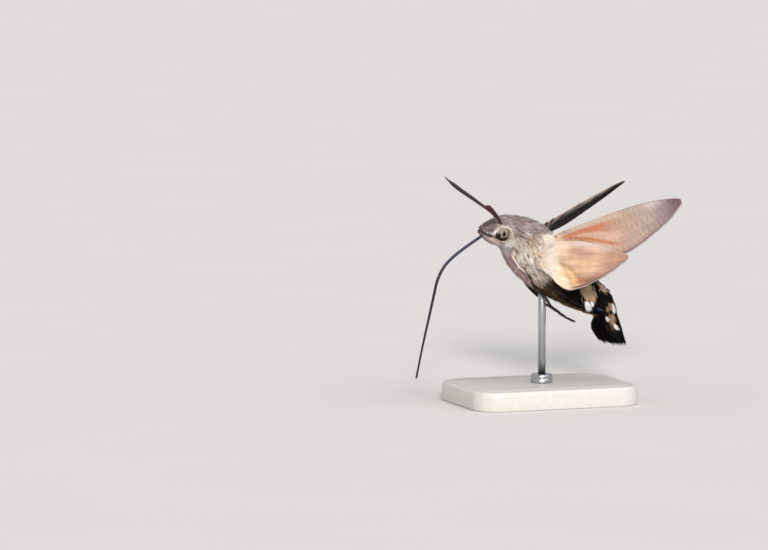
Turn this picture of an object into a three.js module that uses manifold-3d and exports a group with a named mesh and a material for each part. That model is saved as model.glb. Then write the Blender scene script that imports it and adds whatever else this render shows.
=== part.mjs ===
// Hummingbird hawk moth (Macroglossum stellatarum), life size, hovering with its
// wings swept back and its tongue uncoiled, held by a plain display stand.
//
// Millimetres, +Z up. The moth faces -Y and its left side is +X. The origin is
// the middle of the underside of the stand's base. Inside the moth's own group
// the zero is a point in the chest, LIFT above the base's underside.

import * as THREE from 'three';
import { mergeVertices } from 'three/addons/utils/BufferGeometryUtils.js';
import Module from 'manifold-3d';

const wasm = await Module();
wasm.setup();

// ---------------------------------------------------------------- sizes (mm)
const GAP = 0.3;               // clearance between neighbouring solids
const LIFT = 22.6;             // moth's zero above the underside of the base

const BASE_X = 20;             // stand: base plate across the moth
const BASE_Y = 27;             // stand: base plate along the moth
const BASE_T = 3;              // stand: plate thickness
const BASE_R = 4;              // stand: corner radius
const ROD_D = 1.2;             // stand: rod diameter
const ROD_AT = 0.35;           // stand: rod's place along the moth
const ROD_TOP = -4.6;          // stand: rod's end, inside the chest
const COLLAR_D = 3.4;          // stand: collar at the foot of the rod
const COLLAR_H = 1.1;

const WING_T = 0.5;            // thickness of every wing
const WING_ROOT = [3.0, -1.1, 3.05];   // where the leading edge leaves the chest
const WING_SWEEP = { left: 59.7, right: 68.0 };  // degrees the leading edge is swept back
const WING_RISE = { left: 16.0, right: 18.1 };   // degrees the leading edge rises
const SPLAY_ROOT = 2;          // degrees the chord leans outward at the root
const SPLAY_LEFT = 35;         // the same at the outer wing, left
const SPLAY_RIGHT = 53;        // and right
const SPLAY_REACH = 9;         // length of wing over which the lean builds up
const HIND_DROP = 0.85;        // hindwing plate below the forewing plate
const HIND_ROOT = [0.2, 3.0];  // hindwing root, along and behind the leading edge
const HIND_TURN = 18.7;        // degrees the hindwing's axis turns rearward

const FEELER_R = 0.25;         // least radius of antennae, tongue and legs
const CLUB_R = 0.42;           // antenna at its club
const TONGUE_BEND = 15.6;      // length of tongue that shows before its straight end
const TONGUE_END = 9.6;        // straight end, which a flower hides in life

const EYE = { at: [1.78, -6.86, 3.84], half: [0.9, 1.12, 1.06] };

// Rings of the body from muzzle to tail tip. back and belly are [y, z] on the
// outline, half is the half width, mid is how far down the widest level lies,
// and full is the fullness of the section (2 is an ellipse).
const RINGS = [
  { name: 'muzzle',   back: [-9.93, 4.90],   belly: [-9.86, 4.26],   half: 0.54, mid: 0.5,  full: 2.0 },
  { name: 'brow',     back: [-8.80, 5.52],   belly: [-9.02, 3.80],   half: 1.36, mid: 0.5,  full: 2.1 },
  { name: 'eyes',     back: [-6.90, 6.38],   belly: [-7.32, 2.10],   half: 2.20, mid: 0.5,  full: 2.2 },
  { name: 'nape',     back: [-5.10, 6.55],   belly: [-6.25, 1.00],   half: 2.70, mid: 0.5,  full: 2.2 },
  { name: 'shoulder', back: [-3.05, 6.28],   belly: [-5.55, -0.55],  half: 3.45, mid: 0.5,  full: 2.2 },
  { name: 'wingroot', back: [-0.70, 5.52],   belly: [-4.20, -2.45],  half: 3.85, mid: 0.52, full: 2.3 },
  { name: 'rearchest', back: [1.55, 3.85],   belly: [-1.85, -4.50],  half: 3.75, mid: 0.52, full: 2.3 },
  { name: 'waist',    back: [3.45, 1.45],    belly: [0.90, -6.15],   half: 3.30, mid: 0.5,  full: 2.2 },
  { name: 'belly',    back: [6.20, -1.20],   belly: [3.80, -7.70],   half: 3.45, mid: 0.5,  full: 2.3 },
  { name: 'flank',    back: [9.20, -3.80],   belly: [6.80, -8.85],   half: 3.40, mid: 0.5,  full: 2.3 },
  { name: 'rump',     back: [11.45, -6.10],  belly: [8.95, -9.55],   half: 2.75, mid: 0.5,  full: 2.3 },
  { name: 'tailroot', back: [12.55, -8.90],  belly: [9.15, -10.05],  half: 2.35, mid: 0.5,  full: 2.3 },
  { name: 'fan',      back: [13.00, -11.20], belly: [9.02, -11.65],  half: 3.55, mid: 0.5,  full: 2.4 },
  { name: 'fanedge',  back: [13.40, -13.40], belly: [10.55, -13.30], half: 4.05, mid: 0.5,  full: 2.4 },
];
const RING_AT = Object.fromEntries(RINGS.map((r, i) => [r.name, i]));
const SEAM_HEAD = RING_AT.nape + 0.10;       // head and chest part here
const SEAM_WAIST = RING_AT.waist - 0.10;     // chest and abdomen
const SEAM_TAIL = RING_AT.tailroot - 0.15;   // abdomen and tail fan

// Edges of the wings: [distance along the span, leading edge, trailing edge],
// both measured rearward of the line from root to tip.
const FORE_SPAN = 22.5;
const FORE_EDGES = [
  [0.0, 0.0, 1.6], [2.0, -0.1, 3.2], [5.0, -0.3, 4.9], [9.0, -0.7, 6.2],
  [12.6, -1.1, 6.85], [15.0, -1.2, 6.05], [18.0, -1.15, 4.45], [20.6, -0.75, 2.75],
  [22.0, -0.35, 1.35], [22.5, 0.0, 0.55],
];
const HIND_SPAN = 13.6;
const HIND_EDGES = [
  [0.0, -1.0, 1.2], [1.6, -2.3, 3.75], [3.5, -2.5, 4.9], [5.3, -2.4, 4.85],
  [7.9, -1.8, 4.65], [10.0, -1.2, 4.1], [11.7, -0.7, 2.75], [13.0, -0.3, 1.3], [13.6, 0.0, 0.5],
];

// -------------------------------------------------------------------- finish
const paint = (color, roughness, metalness = 0) =>
  new THREE.MeshStandardMaterial({ color, roughness, metalness });
const COAT_GREY = () => paint('#8d8079', 0.95);
const COAT_DARK = () => paint('#2a211c', 0.95);
const COAT_BLACK = () => paint('#12100f', 0.9);
const HORN_DARK = () => paint('#3a2a26', 0.6);
const EYE_BROWN = () => paint('#6d5a4b', 0.15);
const WING_FORE = () => paint('#c99b80', 0.85);
const WING_HIND = () => paint('#dba678', 0.85);
const STAND_PAINT = () => paint('#c9c6c0', 0.6);
const STAND_STEEL = () => paint('#b4b6b8', 0.3, 1);

// ----------------------------------------------------------------- geometry
const V = (x, y, z) => new THREE.Vector3(x, y, z);
const rad = THREE.MathUtils.degToRad;
const mix = THREE.MathUtils.lerp;
const ease = (t) => THREE.MathUtils.smoothstep(t, 0, 1);

/** Signed volume of an indexed geometry, positive when its faces point out. */
function volume(geometry) {
  const p = geometry.attributes.position, n = geometry.index.array;
  const a = V(), b = V(), c = V();
  let sum = 0;
  for (let i = 0; i < n.length; i += 3) {
    a.fromBufferAttribute(p, n[i]); b.fromBufferAttribute(p, n[i + 1]); c.fromBufferAttribute(p, n[i + 2]);
    sum += a.dot(b.cross(c)) / 6;
  }
  return sum;
}

/** An indexed geometry from points and faces, turned so that its faces point out. */
function solidFrom(points, faces) {
  const geometry = new THREE.BufferGeometry();
  geometry.setAttribute('position', new THREE.Float32BufferAttribute(points.flatMap((p) => p.toArray()), 3));
  geometry.setIndex(faces.flat());
  if (volume(geometry) < 0) geometry.setIndex(faces.map(([a, b, c]) => [a, c, b]).flat());
  return geometry;
}

/** A closed skin over rings of equal count, with a fan over each end. */
function skinOver(rings) {
  const sides = rings[0].length, points = rings.flat(), faces = [];
  for (let i = 0; i + 1 < rings.length; i++) {
    for (let k = 0; k < sides; k++) {
      const a = i * sides + k, b = i * sides + (k + 1) % sides;
      faces.push([a, b, b + sides], [a, b + sides, a + sides]);
    }
  }
  for (const end of [0, rings.length - 1]) {
    const middle = rings[end].reduce((m, p) => m.add(p), V(0, 0, 0)).divideScalar(sides);
    points.push(middle);
    for (let k = 0; k < sides; k++) {
      const a = end * sides + k, b = end * sides + (k + 1) % sides;
      faces.push(end === 0 ? [b, a, points.length - 1] : [a, b, points.length - 1]);
    }
  }
  return solidFrom(points, faces);
}

/** A round limb along a curve, its radius a function of the share of its length. */
function limb(points, radius, steps, sides) {
  const curve = new THREE.CatmullRomCurve3(points, false, 'centripetal');
  const frames = curve.computeFrenetFrames(steps, false);
  const rings = [];
  for (let i = 0; i <= steps; i++) {
    const centre = curve.getPointAt(i / steps), r = radius(i / steps);
    rings.push(Array.from({ length: sides }, (_, k) => {
      const a = (2 * Math.PI * k) / sides;
      return centre.clone()
        .addScaledVector(frames.normals[i], r * Math.cos(a))
        .addScaledVector(frames.binormals[i], r * Math.sin(a));
    }));
  }
  return skinOver(rings);
}

/** Value at x of a smooth line through [x, value] pairs. */
function along(table, column, x) {
  let i = 0;
  while (i < table.length - 2 && x > table[i + 1][0]) i++;
  const [x0, x1] = [table[i][0], table[i + 1][0]];
  const slope = (j) => {
    const a = Math.max(j - 1, 0), b = Math.min(j + 1, table.length - 1);
    return (table[b][column] - table[a][column]) / (table[b][0] - table[a][0]);
  };
  const h = x1 - x0, t = (x - x0) / h, t2 = t * t, t3 = t2 * t;
  return (2 * t3 - 3 * t2 + 1) * table[i][column] + (t3 - 2 * t2 + t) * h * slope(i)
    + (3 * t2 - 2 * t3) * table[i + 1][column] + (t3 - t2) * h * slope(i + 1);
}

/** Geometry to a boolean solid, and back. */
function toSolid(geometry) {
  const bare = geometry.clone();
  bare.deleteAttribute('normal');
  bare.deleteAttribute('uv');
  const welded = mergeVertices(bare, 1e-5);
  return new wasm.Manifold(new wasm.Mesh({
    numProp: 3,
    vertProperties: new Float32Array(welded.attributes.position.array),
    triVerts: new Uint32Array(welded.index.array),
  }));
}
function toGeometry(solid) {
  const biggest = solid.decompose().sort((a, b) => b.volume() - a.volume())[0];
  const mesh = biggest.getMesh();
  const geometry = new THREE.BufferGeometry();
  geometry.setAttribute('position', new THREE.Float32BufferAttribute(mesh.vertProperties, 3));
  geometry.setIndex(Array.from(mesh.triVerts));
  return geometry;
}
const cut = (geometry, ...tools) =>
  toGeometry(tools.reduce((rest, tool) => rest.subtract(toSolid(tool)), toSolid(geometry)));

// --------------------------------------------------------------------- body
const curveOf = (f) => new THREE.CatmullRomCurve3(RINGS.map(f), false, 'catmullrom', 0.5);
const BACK = curveOf((r) => V(r.half, r.back[0], r.back[1]));
const BELLY = curveOf((r) => V(r.full, r.belly[0], r.belly[1]));
const MID = curveOf((r) => V(r.mid, 0, 0));

/** A point of the body's outline: t counts rings from the muzzle, turn is the
 *  angle from the back (0) over the left side (90) to the belly (180). */
function bodyPoint(t, turn, grow = 0) {
  const share = THREE.MathUtils.clamp(t / (RINGS.length - 1), 0, 1);
  const back = BACK.getPoint(share), belly = BELLY.getPoint(share);
  const half = back.x + grow, full = belly.x, level = MID.getPoint(share).x;
  const up = V(0, back.y - belly.y, back.z - belly.z);
  const height = up.length();
  up.normalize();
  const centre = V(0, mix(back.y, belly.y, level), mix(back.z, belly.z, level));
  const c = Math.cos(rad(turn)), s = Math.sin(rad(turn));
  const power = (v) => Math.sign(v) * Math.abs(v) ** (2 / full);
  const reach = (c >= 0 ? level : 1 - level) * height + grow;
  return centre.addScaledVector(up, reach * power(c)).add(V(half * power(s), 0, 0));
}
function bodyRing(t, sides, grow = 0) {
  return Array.from({ length: sides }, (_, k) => bodyPoint(t, (360 * k) / sides, grow));
}
/** Lateral tufts swell the abdomen's sides, one to a segment. */
function bodyLength(from, to, steps, sides, grow = 0, shape = (p) => p) {
  const rings = [];
  for (let i = 0; i <= steps; i++) {
    const t = mix(from, to, i / steps);
    rings.push(bodyRing(t, sides, grow).map((p) => shape(p, t)));
  }
  return skinOver(rings);
}
/** A point standing off the body's surface by a clearance. */
function offBody(t, turn, clear) {
  const p = bodyPoint(t, turn), e = 0.02;
  const du = bodyPoint(t + e, turn).sub(bodyPoint(t - e, turn));
  const dv = bodyPoint(t, turn + 1).sub(bodyPoint(t, turn - 1));
  const normal = du.cross(dv).normalize();
  const outward = p.clone().sub(bodyPoint(t, turn + 180));
  if (normal.dot(outward) < 0) normal.negate();
  return p.addScaledVector(normal, clear);
}

const bodyGrown = bodyLength(0, RINGS.length - 1, 40, 28, GAP);
const flankTufts = (p, t) => {
  const swell = 0.13 * Math.max(0, Math.sin(Math.PI * 2 * (t - RING_AT.belly + 0.35)));
  return V(p.x * (1 + swell * Math.abs(p.x) / 3.4), p.y, p.z);
};
/** The fan's end is cut in three rounded lobes. */
const fanLobes = (p, t) => {
  const reach = ease((t - RING_AT.fan) / (RING_AT.fanedge - RING_AT.fan));
  const across = Math.abs(p.x) / 4.05;
  const lobe = 0.55 * Math.cos(across * 1.3) + 0.18 * Math.cos(across * 3 * Math.PI);
  return V(p.x, p.y + 0.3 * lobe * reach, p.z - lobe * reach);
};

const eyeBall = (side, grow = 0) => {
  const ball = new THREE.SphereGeometry(1, 16, 10);
  ball.scale(EYE.half[0] + grow, EYE.half[1] + grow, EYE.half[2] + grow);
  ball.translate(side * EYE.at[0], EYE.at[1], EYE.at[2]);
  return ball;
};

// labial palps, upturned in front of the face
const palpPath = (side) => [
  V(side * 0.95, -6.95, 2.12), V(side * 0.95, -7.63, 2.50), V(side * 0.90, -8.43, 3.05), V(side * 0.75, -9.11, 3.62), V(side * 0.58, -9.70, 4.08),
];
const palpRadius = (s) => 0.36 + 0.16 * Math.sin(Math.PI * Math.min(1, s * 0.9 + 0.05));
const headGrown = bodyLength(0, SEAM_HEAD, 16, 24, GAP);

const head = cut(bodyLength(0, SEAM_HEAD, 12, 26), eyeBall(1, GAP), eyeBall(-1, GAP));
const palp = (side) => {
  const lane = new THREE.BoxGeometry(GAP, 8, 8);          // keeps the two palps apart
  lane.translate(0, -8.5, 3);
  return cut(limb(palpPath(side), palpRadius, 7, 9), headGrown, lane);
};

// -------------------------------------------------------------------- wings
/** How one wing pair is held: the ways of its span, of out and of down, and its lean. */
function stance(word, splay) {
  const sweep = rad(WING_SWEEP[word]), rise = rad(WING_RISE[word]);
  const span = V(Math.cos(sweep) * Math.cos(rise), Math.sin(sweep) * Math.cos(rise), Math.sin(rise));
  const out = V(0, 0, 1).cross(span).negate().normalize();
  return { span, out, down: span.clone().cross(out).normalize(), splay };
}

/** A point of a wing's surface, as if on the left: s along the span, c rearward of it. */
function wingPoint(s, c, held, lower) {
  const lean = rad(mix(SPLAY_ROOT, held.splay, ease(s / SPLAY_REACH)));
  const chord = held.down.clone().multiplyScalar(Math.cos(lean)).addScaledVector(held.out, Math.sin(lean));
  const normal = held.span.clone().cross(chord).normalize();
  const p = V(...WING_ROOT).addScaledVector(held.span, s).addScaledVector(chord, c);
  return p.addScaledVector(normal, -lower);
}
/** A closed plate over a grid of the wing's surface. */
function wingPlate(span, edges, place, held, lower, nu, nv) {
  const points = [], faces = [], row = nv + 1, layer = (nu + 1) * row;
  for (const level of [lower - WING_T / 2, lower + WING_T / 2]) {
    for (let i = 0; i <= nu; i++) {
      const a = span * (1 - (1 - i / nu) ** 1.12);
      for (let j = 0; j <= nv; j++) {
        const b = mix(along(edges, 1, a), along(edges, 2, a), j / nv);
        const [s, c] = place(a, b);
        points.push(wingPoint(s, c, held, level));
      }
    }
  }
  for (let i = 0; i < nu; i++) for (let j = 0; j < nv; j++) {
    const a = i * row + j, b = a + 1, d = a + row, e = d + 1;
    faces.push([a, b, e], [a, e, d], [a + layer, e + layer, b + layer], [a + layer, d + layer, e + layer]);
  }
  const rim = [];
  for (let j = 0; j < nv; j++) rim.push(j);
  for (let i = 0; i < nu; i++) rim.push(i * row + nv);
  for (let j = nv; j > 0; j--) rim.push(nu * row + j);
  for (let i = nu; i > 0; i--) rim.push(i * row);
  rim.forEach((a, k) => {
    const b = rim[(k + 1) % rim.length];
    faces.push([b, a, a + layer], [b, a + layer, b + layer]);
  });
  return solidFrom(points, faces);
}
const turnHind = rad(HIND_TURN);
const asFore = (a, b) => [a, b];
const asHind = (a, b) => [
  HIND_ROOT[0] + a * Math.cos(turnHind) - b * Math.sin(turnHind),
  HIND_ROOT[1] + a * Math.sin(turnHind) + b * Math.cos(turnHind),
];
const mirrored = (geometry, side) => {
  if (side > 0) return geometry;
  const flipped = geometry.clone().scale(-1, 1, 1);
  const n = flipped.index.array;
  for (let i = 0; i < n.length; i += 3) [n[i + 1], n[i + 2]] = [n[i + 2], n[i + 1]];
  return flipped;
};
const STANCE = { left: stance('left', SPLAY_LEFT), right: stance('right', SPLAY_RIGHT) };
const forewing = (word, side) =>
  mirrored(cut(wingPlate(FORE_SPAN, FORE_EDGES, asFore, STANCE[word], 0, 16, 4), bodyGrown), side);
const hindwing = (word, side) =>
  mirrored(cut(wingPlate(HIND_SPAN, HIND_EDGES, asHind, STANCE[word], HIND_DROP, 12, 5), bodyGrown), side);

// ----------------------------------------------------- antennae and tongue
const clubbed = (s) => s < 0.8
  ? mix(FEELER_R, CLUB_R, ease(s / 0.8) ** 1.3)
  : mix(CLUB_R, FEELER_R, ease((s - 0.8) / 0.17));
const ANTENNA_LEFT = [
  V(1.0, -6.5, 4.75), V(2.0, -7.3, 5.6), V(4.6, -9.05, 6.9), V(7.6, -11.3, 8.35), V(9.55, -12.55, 8.85), V(10.05, -12.9, 9.15),
];
const ANTENNA_RIGHT = [
  V(-1.0, -6.3, 5.1), V(-1.75, -7.05, 6.5), V(-3.9, -8.9, 8.35), V(-6.6, -10.85, 10.15), V(-8.2, -12.2, 11.55), V(-8.55, -12.45, 11.95),
];
const antenna = (path) => cut(limb(path, clubbed, 18, 8), headGrown);

const TONGUE = [
  V(0, -9.95, 3.22), V(0, -13.74, 0.75), V(0, -15.63, -0.95), V(0, -16.81, -3.05), V(0, -17.45, -5.52), V(0, -18.2, -8.7),
];
const tongueDown = TONGUE.at(-1).clone().sub(TONGUE.at(-2)).normalize();
TONGUE.push(TONGUE.at(-1).clone().addScaledVector(tongueDown, TONGUE_END / 2));
TONGUE.push(TONGUE.at(-1).clone().addScaledVector(tongueDown, TONGUE_END / 2).add(V(0, 0.12, 0)));
const tongueCurve = new THREE.CatmullRomCurve3(TONGUE, false, 'centripetal');
const tongueLength = (from, to, steps) => {
  const whole = tongueCurve.getLength();
  const points = Array.from({ length: steps + 1 }, (_, i) => tongueCurve.getPointAt(mix(from, to, i / steps) / whole));
  return limb(points, () => 0.26, steps, 8);
};
const TONGUE_WHOLE = tongueCurve.getLength();

// --------------------------------------------------------------------- legs
const legRadius = (hip, foot) => (s) => mix(hip, foot, Math.min(1, s * 1.6));
const side3 = (side, x, y, z) => V(side * x, y, z);
const onSide = (side, p) => V(side * p.x, p.y, p.z);
/** Tucked under the chin and down the front of the chest. */
const legFore = (side) => (side > 0
  ? [[3.35, 134], [3.9, 139], [4.4, 143], [4.9, 147], [5.3, 150]]
  : [[3.05, 120], [3.4, 122], [3.75, 124], [4.1, 126], [4.4, 128]]
).map(([t, turn]) => onSide(side, offBody(t, turn, 0.6)));
/** Shin along the chest, foot trailing free under the abdomen. */
const legMid = (side) => [
  ...[offBody(4.85, 127, 0.62), offBody(5.4, 137, 0.62), offBody(5.95, 147, 0.64), offBody(6.45, 154, 0.68)].map((p) => onSide(side, p)),
  side3(side, 1.55, 0.35, -6.35), side3(side, 1.0, 1.3, -7.55), side3(side, 0.62, 2.65, -8.5),
  side3(side, 0.5, 4.2, -9.6), side3(side, 0.5, 5.65, -10.35),
];
/** Folded back along the flank of the abdomen. */
const legHind = (side) => [
  offBody(5.9, 118, 0.62), offBody(6.6, 124, 0.62), offBody(7.3, 130, 0.62), offBody(8.1, 136, 0.62), offBody(8.8, 140, 0.62), offBody(9.4, 143, 0.62),
].map((p) => onSide(side, p));
const leg = (path, hip, foot, steps) => cut(limb(path, legRadius(hip, foot), steps, 7), bodyGrown);

// -------------------------------------------------------------------- stand
function basePlate() {
  const x = BASE_X / 2, y = BASE_Y / 2, r = BASE_R, shape = new THREE.Shape();
  shape.moveTo(-x + r, -y);
  shape.lineTo(x - r, -y); shape.absarc(x - r, -y + r, r, -Math.PI / 2, 0);
  shape.lineTo(x, y - r); shape.absarc(x - r, y - r, r, 0, Math.PI / 2);
  shape.lineTo(-x + r, y); shape.absarc(-x + r, y - r, r, Math.PI / 2, Math.PI);
  shape.lineTo(-x, -y + r); shape.absarc(-x + r, -y + r, r, Math.PI, 1.5 * Math.PI);
  const plate = new THREE.ExtrudeGeometry(shape, {
    depth: BASE_T - 0.4, bevelEnabled: true, bevelThickness: 0.4, bevelSize: 0.4, bevelOffset: -0.4,
    bevelSegments: 1, curveSegments: 4,
  });
  // the bevel below is pressed flat, so that the underside is one full face
  const p = plate.attributes.position;
  for (let i = 0; i < p.count; i++) if (p.getZ(i) < 0) p.setZ(i, 0);
  return plate;
}
function rod() {
  const r = ROD_D / 2, low = BASE_T - LIFT + GAP;
  const profile = [[0, low], [r, low], [r, ROD_TOP - 0.2], [r - 0.2, ROD_TOP], [0, ROD_TOP]];
  const turned = new THREE.LatheGeometry(profile.map(([x, y]) => new THREE.Vector2(x, y)), 16);
  turned.rotateX(Math.PI / 2);
  turned.translate(0, ROD_AT, 0);
  return turned;
}
function collar() {
  const inner = ROD_D / 2 + GAP, outer = COLLAR_D / 2, low = BASE_T + GAP, high = BASE_T + GAP + COLLAR_H;
  const profile = [[inner, low], [outer, low], [outer, high - 0.35], [outer - 0.35, high], [inner, high], [inner, low]];
  const turned = new THREE.LatheGeometry(profile.map(([x, y]) => new THREE.Vector2(x, y)), 20);
  turned.rotateX(Math.PI / 2);
  return turned;
}
const rodBore = () => {
  const bore = new THREE.CylinderGeometry(ROD_D / 2 + GAP, ROD_D / 2 + GAP, 6, 20);
  bore.rotateX(Math.PI / 2);
  bore.translate(0, ROD_AT, ROD_TOP + GAP - 3);
  return bore;
};

// -------------------------------------------------------------------- model
const model = new THREE.Group();
const moth = new THREE.Group();
moth.position.set(0, 0, LIFT);
model.add(moth);
const put = (group, name, geometry, material, position = [0, 0, 0]) => {
  const mesh = new THREE.Mesh(geometry, material);
  mesh.name = name;
  mesh.position.set(...position);
  group.add(mesh);
};

put(moth, 'head', head, COAT_GREY());
put(moth, 'eye_left', eyeBall(1), EYE_BROWN());
put(moth, 'eye_right', eyeBall(-1), EYE_BROWN());
put(moth, 'palp_left', palp(1), COAT_GREY());
put(moth, 'palp_right', palp(-1), COAT_GREY());
put(moth, 'antenna_left', antenna(ANTENNA_LEFT), HORN_DARK());
put(moth, 'antenna_right', antenna(ANTENNA_RIGHT), HORN_DARK());
put(moth, 'proboscis_upper', tongueLength(0, 5.2, 8), HORN_DARK());
put(moth, 'proboscis_middle', tongueLength(5.2 + GAP, TONGUE_BEND, 14), HORN_DARK());
put(moth, 'proboscis_lower', tongueLength(TONGUE_BEND + GAP, TONGUE_WHOLE, 8), HORN_DARK());
put(moth, 'thorax', cut(bodyLength(SEAM_HEAD + 0.2, SEAM_WAIST, 14, 30), rodBore()), COAT_GREY());
put(moth, 'abdomen', bodyLength(SEAM_WAIST + 0.16, SEAM_TAIL, 17, 28, 0, flankTufts), COAT_DARK());
put(moth, 'tail_fan', bodyLength(SEAM_TAIL + 0.22, RINGS.length - 1, 9, 28, 0, fanLobes), COAT_BLACK());
put(moth, 'forewing_left', forewing('left', 1), WING_FORE());
put(moth, 'forewing_right', forewing('right', -1), WING_FORE());
put(moth, 'hindwing_left', hindwing('left', 1), WING_HIND());
put(moth, 'hindwing_right', hindwing('right', -1), WING_HIND());
for (const [word, side] of [['left', 1], ['right', -1]]) {
  put(moth, `leg_fore_${word}`, leg(legFore(side), 0.3, 0.25, 12), COAT_GREY());
  put(moth, `leg_mid_${word}`, leg(legMid(side), 0.34, 0.25, 22), COAT_DARK());
  put(moth, `leg_hind_${word}`, leg(legHind(side), 0.36, 0.26, 14), COAT_DARK());
}
put(model, 'stand_base', basePlate(), STAND_PAINT());
put(model, 'stand_collar', collar(), STAND_STEEL(), [0, ROD_AT, 0]);
put(moth, 'stand_rod', rod(), STAND_STEEL());

export default model;
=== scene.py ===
# The look of a hummingbird hawk moth (Macroglossum stellatarum), life size, as a
# still model on its stand: skin, coat, wings, eyes, feelers, tongue, legs, stand.
#
# Shapes are worked out in millimetres from the zero in the moth's chest, which is
# LIFT above the underside of the stand's base. The moth faces -Y and its left
# side is +X. Every mesh is turned into metres as it is made.

import math

import bpy
import numpy as np
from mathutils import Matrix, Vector
from mathutils.kdtree import KDTree


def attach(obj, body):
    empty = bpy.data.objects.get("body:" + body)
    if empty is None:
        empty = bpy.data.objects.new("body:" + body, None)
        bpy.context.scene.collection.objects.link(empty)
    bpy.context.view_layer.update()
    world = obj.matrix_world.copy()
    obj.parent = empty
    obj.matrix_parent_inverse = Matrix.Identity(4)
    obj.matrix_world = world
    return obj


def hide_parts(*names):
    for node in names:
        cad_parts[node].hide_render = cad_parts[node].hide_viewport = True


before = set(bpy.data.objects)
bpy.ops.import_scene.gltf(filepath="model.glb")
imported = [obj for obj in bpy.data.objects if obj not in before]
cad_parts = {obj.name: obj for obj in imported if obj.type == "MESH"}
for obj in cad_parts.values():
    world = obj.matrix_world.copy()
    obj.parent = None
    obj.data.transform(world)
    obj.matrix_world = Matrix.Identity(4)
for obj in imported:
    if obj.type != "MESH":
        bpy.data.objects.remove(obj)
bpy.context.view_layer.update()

# --- geometry start
LIFT = 22.6                     # moth's zero above the underside of the base

# Rings of the body from muzzle to tail tip: back y, z; belly y, z; half width;
# how far down the widest level lies; fullness of the section.
RINGS = np.array([
    [-9.93, 4.90, -9.86, 4.26, 0.54, 0.50, 2.0],      # muzzle
    [-8.80, 5.52, -9.02, 3.80, 1.36, 0.50, 2.1],      # brow
    [-6.90, 6.38, -7.32, 2.10, 2.20, 0.50, 2.2],      # eyes
    [-5.10, 6.55, -6.25, 1.00, 2.70, 0.50, 2.2],      # nape
    [-3.05, 6.28, -5.55, -0.55, 3.45, 0.50, 2.2],     # shoulder
    [-0.70, 5.52, -4.20, -2.45, 3.85, 0.52, 2.3],     # wing root
    [1.55, 3.85, -1.85, -4.50, 3.75, 0.52, 2.3],      # rear of the chest
    [3.45, 1.45, 0.90, -6.15, 3.30, 0.50, 2.2],       # waist
    [6.20, -1.20, 3.80, -7.70, 3.45, 0.50, 2.3],      # belly
    [9.20, -3.80, 6.80, -8.85, 3.40, 0.50, 2.3],      # flank
    [11.45, -6.10, 8.95, -9.55, 2.75, 0.50, 2.3],     # rump
    [12.55, -8.90, 9.15, -10.05, 2.35, 0.50, 2.3],    # tail root
    [13.00, -11.20, 9.02, -11.65, 3.55, 0.50, 2.4],   # fan
    [13.40, -13.40, 10.55, -13.30, 4.05, 0.50, 2.4],  # fan edge
])
RINGS_OUT = np.vstack([2 * RINGS[0] - RINGS[1], RINGS, 2 * RINGS[-1] - RINGS[-2]])
EYE_AT, EYE_HALF = np.array([1.78, -6.86, 3.84]), np.array([0.90, 1.12, 1.06])


def ease(v, low=0.0, high=1.0):
    """Smooth step from 0 at low to 1 at high."""
    v = np.clip((np.asarray(v, float) - low) / (high - low), 0, 1)
    return v * v * (3 - 2 * v)


def mix(a, b, w):
    return a + (b - a) * w


def unit(v):
    return v / np.maximum(np.linalg.norm(v, axis=-1, keepdims=True), 1e-12)


def ring_values(t):
    """The seven numbers of the body's section at t, on smooth curves through the rings."""
    t = np.clip(t, 0, len(RINGS) - 1)
    i = np.clip(np.floor(t).astype(int), 0, len(RINGS) - 2)
    w = (t - i)[:, None]
    p0, p1, p2, p3 = RINGS_OUT[i], RINGS_OUT[i + 1], RINGS_OUT[i + 2], RINGS_OUT[i + 3]
    v0, v1 = (p2 - p0) / 2, (p3 - p1) / 2
    return (2 * p1 - 2 * p2 + v0 + v1) * w**3 + (-3 * p1 + 3 * p2 - 2 * v0 - v1) * w**2 + v0 * w + p1


def body_point(t, turn, grow=0.0):
    """Points of the body's outline: t counts rings from the muzzle, turn is the angle
    in degrees from the back (0) over the left side (90) to the belly (180)."""
    t, turn = np.broadcast_arrays(np.asarray(t, float), np.asarray(turn, float))
    shape = t.shape
    t, turn = t.ravel(), turn.ravel()
    grow = np.broadcast_to(np.asarray(grow, float), shape).ravel()
    by, bz, ly, lz, half, level, full = ring_values(t).T
    up = np.stack([0 * by, by - ly, bz - lz], -1)
    height = np.linalg.norm(up, axis=1)
    up = up / height[:, None]
    centre = np.stack([0 * by, mix(by, ly, level), mix(bz, lz, level)], -1)
    c, s = np.cos(np.radians(turn)), np.sin(np.radians(turn))
    power = 2 / full
    reach = (np.where(c >= 0, level, 1 - level) * height + grow) * np.sign(c) * np.abs(c) ** power
    x = (half + grow) * np.sign(s) * np.abs(s) ** power
    # tufts swell the abdomen's sides, one to a segment
    swell = 0.13 * np.maximum(0, np.sin(2 * np.pi * (t - 8 + 0.35))) * ease(t, 6.9, 7.2) * (1 - ease(t, 10.75, 10.95))
    x = x * (1 + swell * np.abs(x) / 3.4)
    p = centre + up * reach[:, None]
    p[:, 0] = x
    # the fan's end is cut in three rounded lobes
    out = ease(t, 12, 13)
    across = np.abs(x) / 4.05
    lobe = (0.55 * np.cos(across * 1.3) + 0.18 * np.cos(across * 3 * np.pi)) * out
    p[:, 1] += 0.3 * lobe
    p[:, 2] -= lobe
    return p.reshape(shape + (3,))


def body_frame(t, turn):
    """Point, rearward way, way of growing turn (both per unit of t and per degree), outward normal."""
    t, turn = np.asarray(t, float), np.asarray(turn, float)
    e = 0.02
    low, high = np.clip(t - e, 0, 13), np.clip(t + e, 0, 13)
    p = body_point(t, turn)
    along = (body_point(high, turn) - body_point(low, turn)) / (high - low)[..., None]
    round_ = (body_point(t, turn + 1) - body_point(t, turn - 1)) / 2
    normal = unit(np.cross(round_, along))
    inner = p - body_point(t, turn + 180)
    flip = np.sum(normal * inner, -1) < 0
    normal[flip] *= -1
    return p, along, round_, normal


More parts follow.
